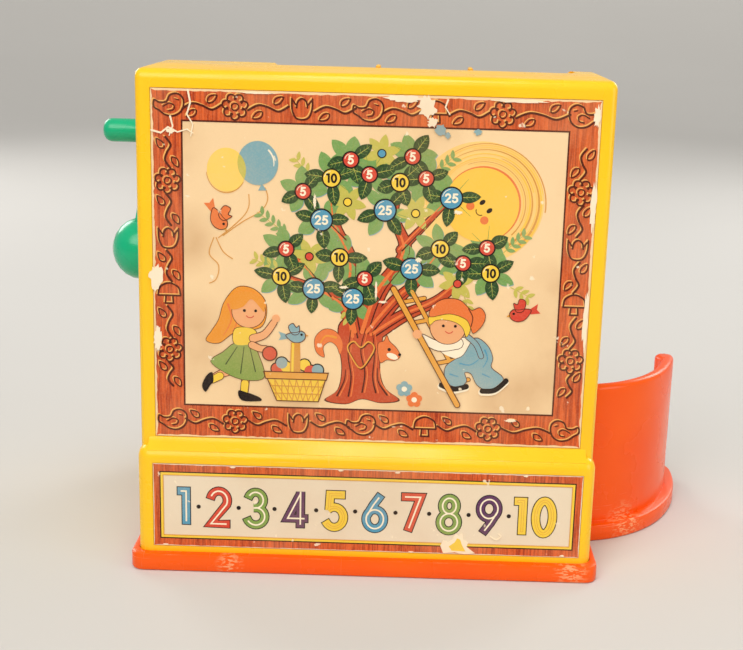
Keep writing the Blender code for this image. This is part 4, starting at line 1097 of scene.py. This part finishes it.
def draw_ladder(art):
    rails = [[(9.5, -8), (39, -59.5)], [(17.5, -9), (42, -52)]]
    for k, (a, b) in enumerate(((13, -14), (18, -23), (23.2, -32), (28.4, -41), (33.5, -50))):
        end = (a + 10.0, b + 2.2)
        art.edged_line("straw", [(a, b), end], (1.5, 1.5), 3 if k else 2)
    for k, path in enumerate(rails):
        width = 2.1 - 0.5 * k
        art.edged_line("straw", path, (width, width), 3 if k else 12, 0.7)


def draw_boy(art):
    shirt = smooth([
        (29, -31), (36, -29.6), (43, -29), (46.2, -32.6), (45.0, -37.2), (40.4, -38.6), (35.4, -37.8),
        (31, -35.4)], 5, True)
    art.outlined("white", shirt, 3)
    limb(art, "white", [(38, -31.5), (30, -33), (22.5, -29.5)], (5.0, 3.2))
    trousers = smooth([
        (45.5, -29), (51, -32), (53.6, -37.5), (53.2, -42), (58.6, -46.6), (56, -50.4), (51.6, -52),
        (47.4, -50), (44.6, -45), (41.6, -44.6), (42.6, -48.4), (40.2, -50.8), (36, -50.6),
        (33.2, -47), (33.4, -42.2), (37, -39), (41, -36.6)], 4, True)
    art.outlined("sky", trousers, 6)
    folds = [
        [(39.5, -40.5), (44, -41), (47.5, -38.5)], [(50, -34), (51.4, -38), (49.6, -42)],
        [(35.4, -45.5), (39, -46.5)], [(49.6, -45), (53, -46.5)],
    ]
    for points in folds:
        art.line("blue", smooth(points, 5), (0.7, 0.3), 8)
    strap = [(42.4, -28.4), (46.2, -31.8), (48.6, -37.0)]
    limb(art, "sky", strap, (2.0, 2.0), 7)
    shoes = [[(49.5, -53.4), (55, -52.8), (59.8, -48.4)], [(31.5, -51.2), (36.5, -52.9), (42.5, -51.6)]]
    for points in shoes:
        shoe = smooth(points, 5)
        art.line("white", shoe, 3.0, 8)
        art.line("black", [(a + 0.2, b + 0.6) for a, b in shoe], 2.3, 9)
    art.disc("skin", (20.4, -27.8), 2.0, 14, 18)
    head = (33.6, -24.2)
    face(art, head, 7.7)
    fringe = smooth([
        (-7.9, 4.6), (-7.8, 0.8), (-5.4, 2.8), (-1.0, 3.2), (3.6, 2.0), (6.6, -0.4), (8.2, -4.2),
        (9.7, -0.4), (7.6, 4.0), (0.5, 6.2)], 4, True)
    art.outlined("yellow", moved(fringe, head), 8, 0.4)
    cap = smooth([
        (-7.8, 4.4), (-7.2, 8.6), (-3.8, 11.6), (0.5, 12.6), (5.0, 11.8), (8.6, 8.6), (10.4, 7.6),
        (13.6, 8.8), (15.9, 5.8), (14.9, 1.4), (11.3, -2.4), (9.9, 0.2), (7.6, 3.8), (0.5, 6.0)], 4, True)
    art.outlined("orange", moved(cap, head), 10)
    art.line("wood_dark", moved(smooth([(8.6, 8.4), (10.6, 4.6), (10.0, 0.6)], 4), head), 0.4, 12)


def draw_squirrel(art):
    tail = smooth([
        (-12, -33), (-15, -28), (-20, -27), (-24, -31), (-23.5, -37), (-20, -39.5), (-20.5, -35),
        (-17.5, -32.5), (-14.5, -34.5), (-13, -38)], 4, True)
    art.line("wood_dark", tail, 0.4, 2, True)
    art.fill("orange", tail, 4)
    art.line("hair", smooth([(-15, -30.5), (-19.5, -30), (-22, -34)], 5), (1.1, 0.4), 5)
    head = smooth([
        (3.5, -33), (6, -31.5), (7.2, -29), (8.4, -31.5), (11.5, -34.5), (13.2, -38), (11, -40),
        (7.5, -39.8), (4.5, -41)], 4, True)
    art.outlined("orange", head, 4, 0.4)
    art.fill("white", oval((9.8, -38.2), 2.6, 1.3, 18, -20), 6)
    art.disc("black", (8.4, -35.2), 0.75, 6, 14)
    art.disc("black", (13.0, -37.4), 0.65, 7, 12)


def draw_flowers(art):
    for ink, centre in (("sky", (15.5, -53)), ("orange", (20, -57.8))):
        for k in range(5):
            spot = moved([(2.0, 0)], centre, 72 * k + 18)[0]
            art.disc(ink, spot, 1.6, 3, 18)
        art.disc("white", centre, 1.2, 4, 16)


def draw_wear(art):
    """Bare patches, cracks and stains; each patch has its own seed, counted up from the first."""
    patches = [
        (21.5, 70, 4.2, 5.2), (24, 63.5, 2.6, 2.2), (12, 73, 9.0, 1.5), (-93, -6, 3.4, 6.0),
        (-92.6, -34, 1.9, 6.5), (93.2, 30, 1.3, 12.0), (93.0, -20, 1.2, 15.0), (-86, 57, 2.2, 1.2),
        (63, -66, 2.6, 0.9), (-25, 29, 0.7, 3.4), (2, -9, 0.6, 4.6), (-12, -8, 2.2, 0.7),
        (5, -14, 2.0, 0.6), (36, 26, 2.0, 1.0), (20, 5, 1.6, 1.2), (92.5, 68, 1.5, 5.0),
        (60, 73.4, 12.0, 0.8), (-50, 73.6, 8.0, 0.5)]
    for seed, (a, b, rx, ry) in enumerate(patches, 31):
        art.fill("bare", ragged((a, b), rx, ry, seed, 30), 8)
    cracks = [
        [(-78.5, 74), (-77.5, 69), (-79, 64), (-76.5, 60), (-77.4, 55)],
        [(-94, 57), (-90, 56), (-87, 58.5), (-83, 56.5), (-79, 57.8), (-76.5, 56.2)],
        [(-86, 63), (-85, 59), (-86.5, 55)],
        [(30, 73), (29, 70), (31, 67)],
    ]
    for points in cracks:
        art.line("bare", points, (0.8, 0.4), 8)
    stains = [(27.5, 60.5, 2.6, 2.6), (30.5, 58.2, 1.2, 1.6), (43, 60, 1.8, 1.3)]
    for seed, (a, b, rx, ry) in enumerate(stains, 51):
        art.fill("sky", ragged((a, b), rx, ry, seed, 16), 9)


def build_picture():
    art = Drawing("picture", upright_sheet(PICTURE_PLACE), "register")
    for draw in (build_border, draw_sun, draw_balloons, draw_sprigs, draw_tree, draw_squirrel, draw_tokens):
        draw(art)
    draw_bird(art, "orange", (-66.5, 20), -58)
    draw_bird(art, "red", (65, -18), 14, 0.95, True)
    draw_bird(art, "sky", (-32.5, -31), 4, 0.85)
    for draw in (draw_basket, draw_girl, draw_ladder, draw_boy, draw_flowers, draw_wear):
        draw(art)
    art.build()


# ---- key numbers


def build_key_numbers():
    push = math.radians(KEY_PUSH)
    out = Vector((0, -math.cos(push), math.sin(push)))
    up = Vector((0, math.sin(push), math.cos(push)))
    for text, (x, mark) in KEY_MARKS.items():
        sheet = Matrix((Vector((1, 0, 0)), up, out)).transposed().to_4x4()
        sheet.translation = Vector((x, *KEY_CENTRE)) * MM + out * KEY_OUT * MM
        art = Drawing("key_" + text, sheet, "key_" + text)
        art.disc("white", (0, 0), 6.6, 1, 40)
        art.line(mark, oval((0, 0), 5.9, 5.9, 40), 0.5, 2, True)
        numeral(art, text, (0, 0), 6.2, [(mark, 1.35)], 2, 0.36)
        art.build()


finish_cad_nodes()
build_number_strip()
build_picture()
build_key_numbers()
add_studio()
add_camera()
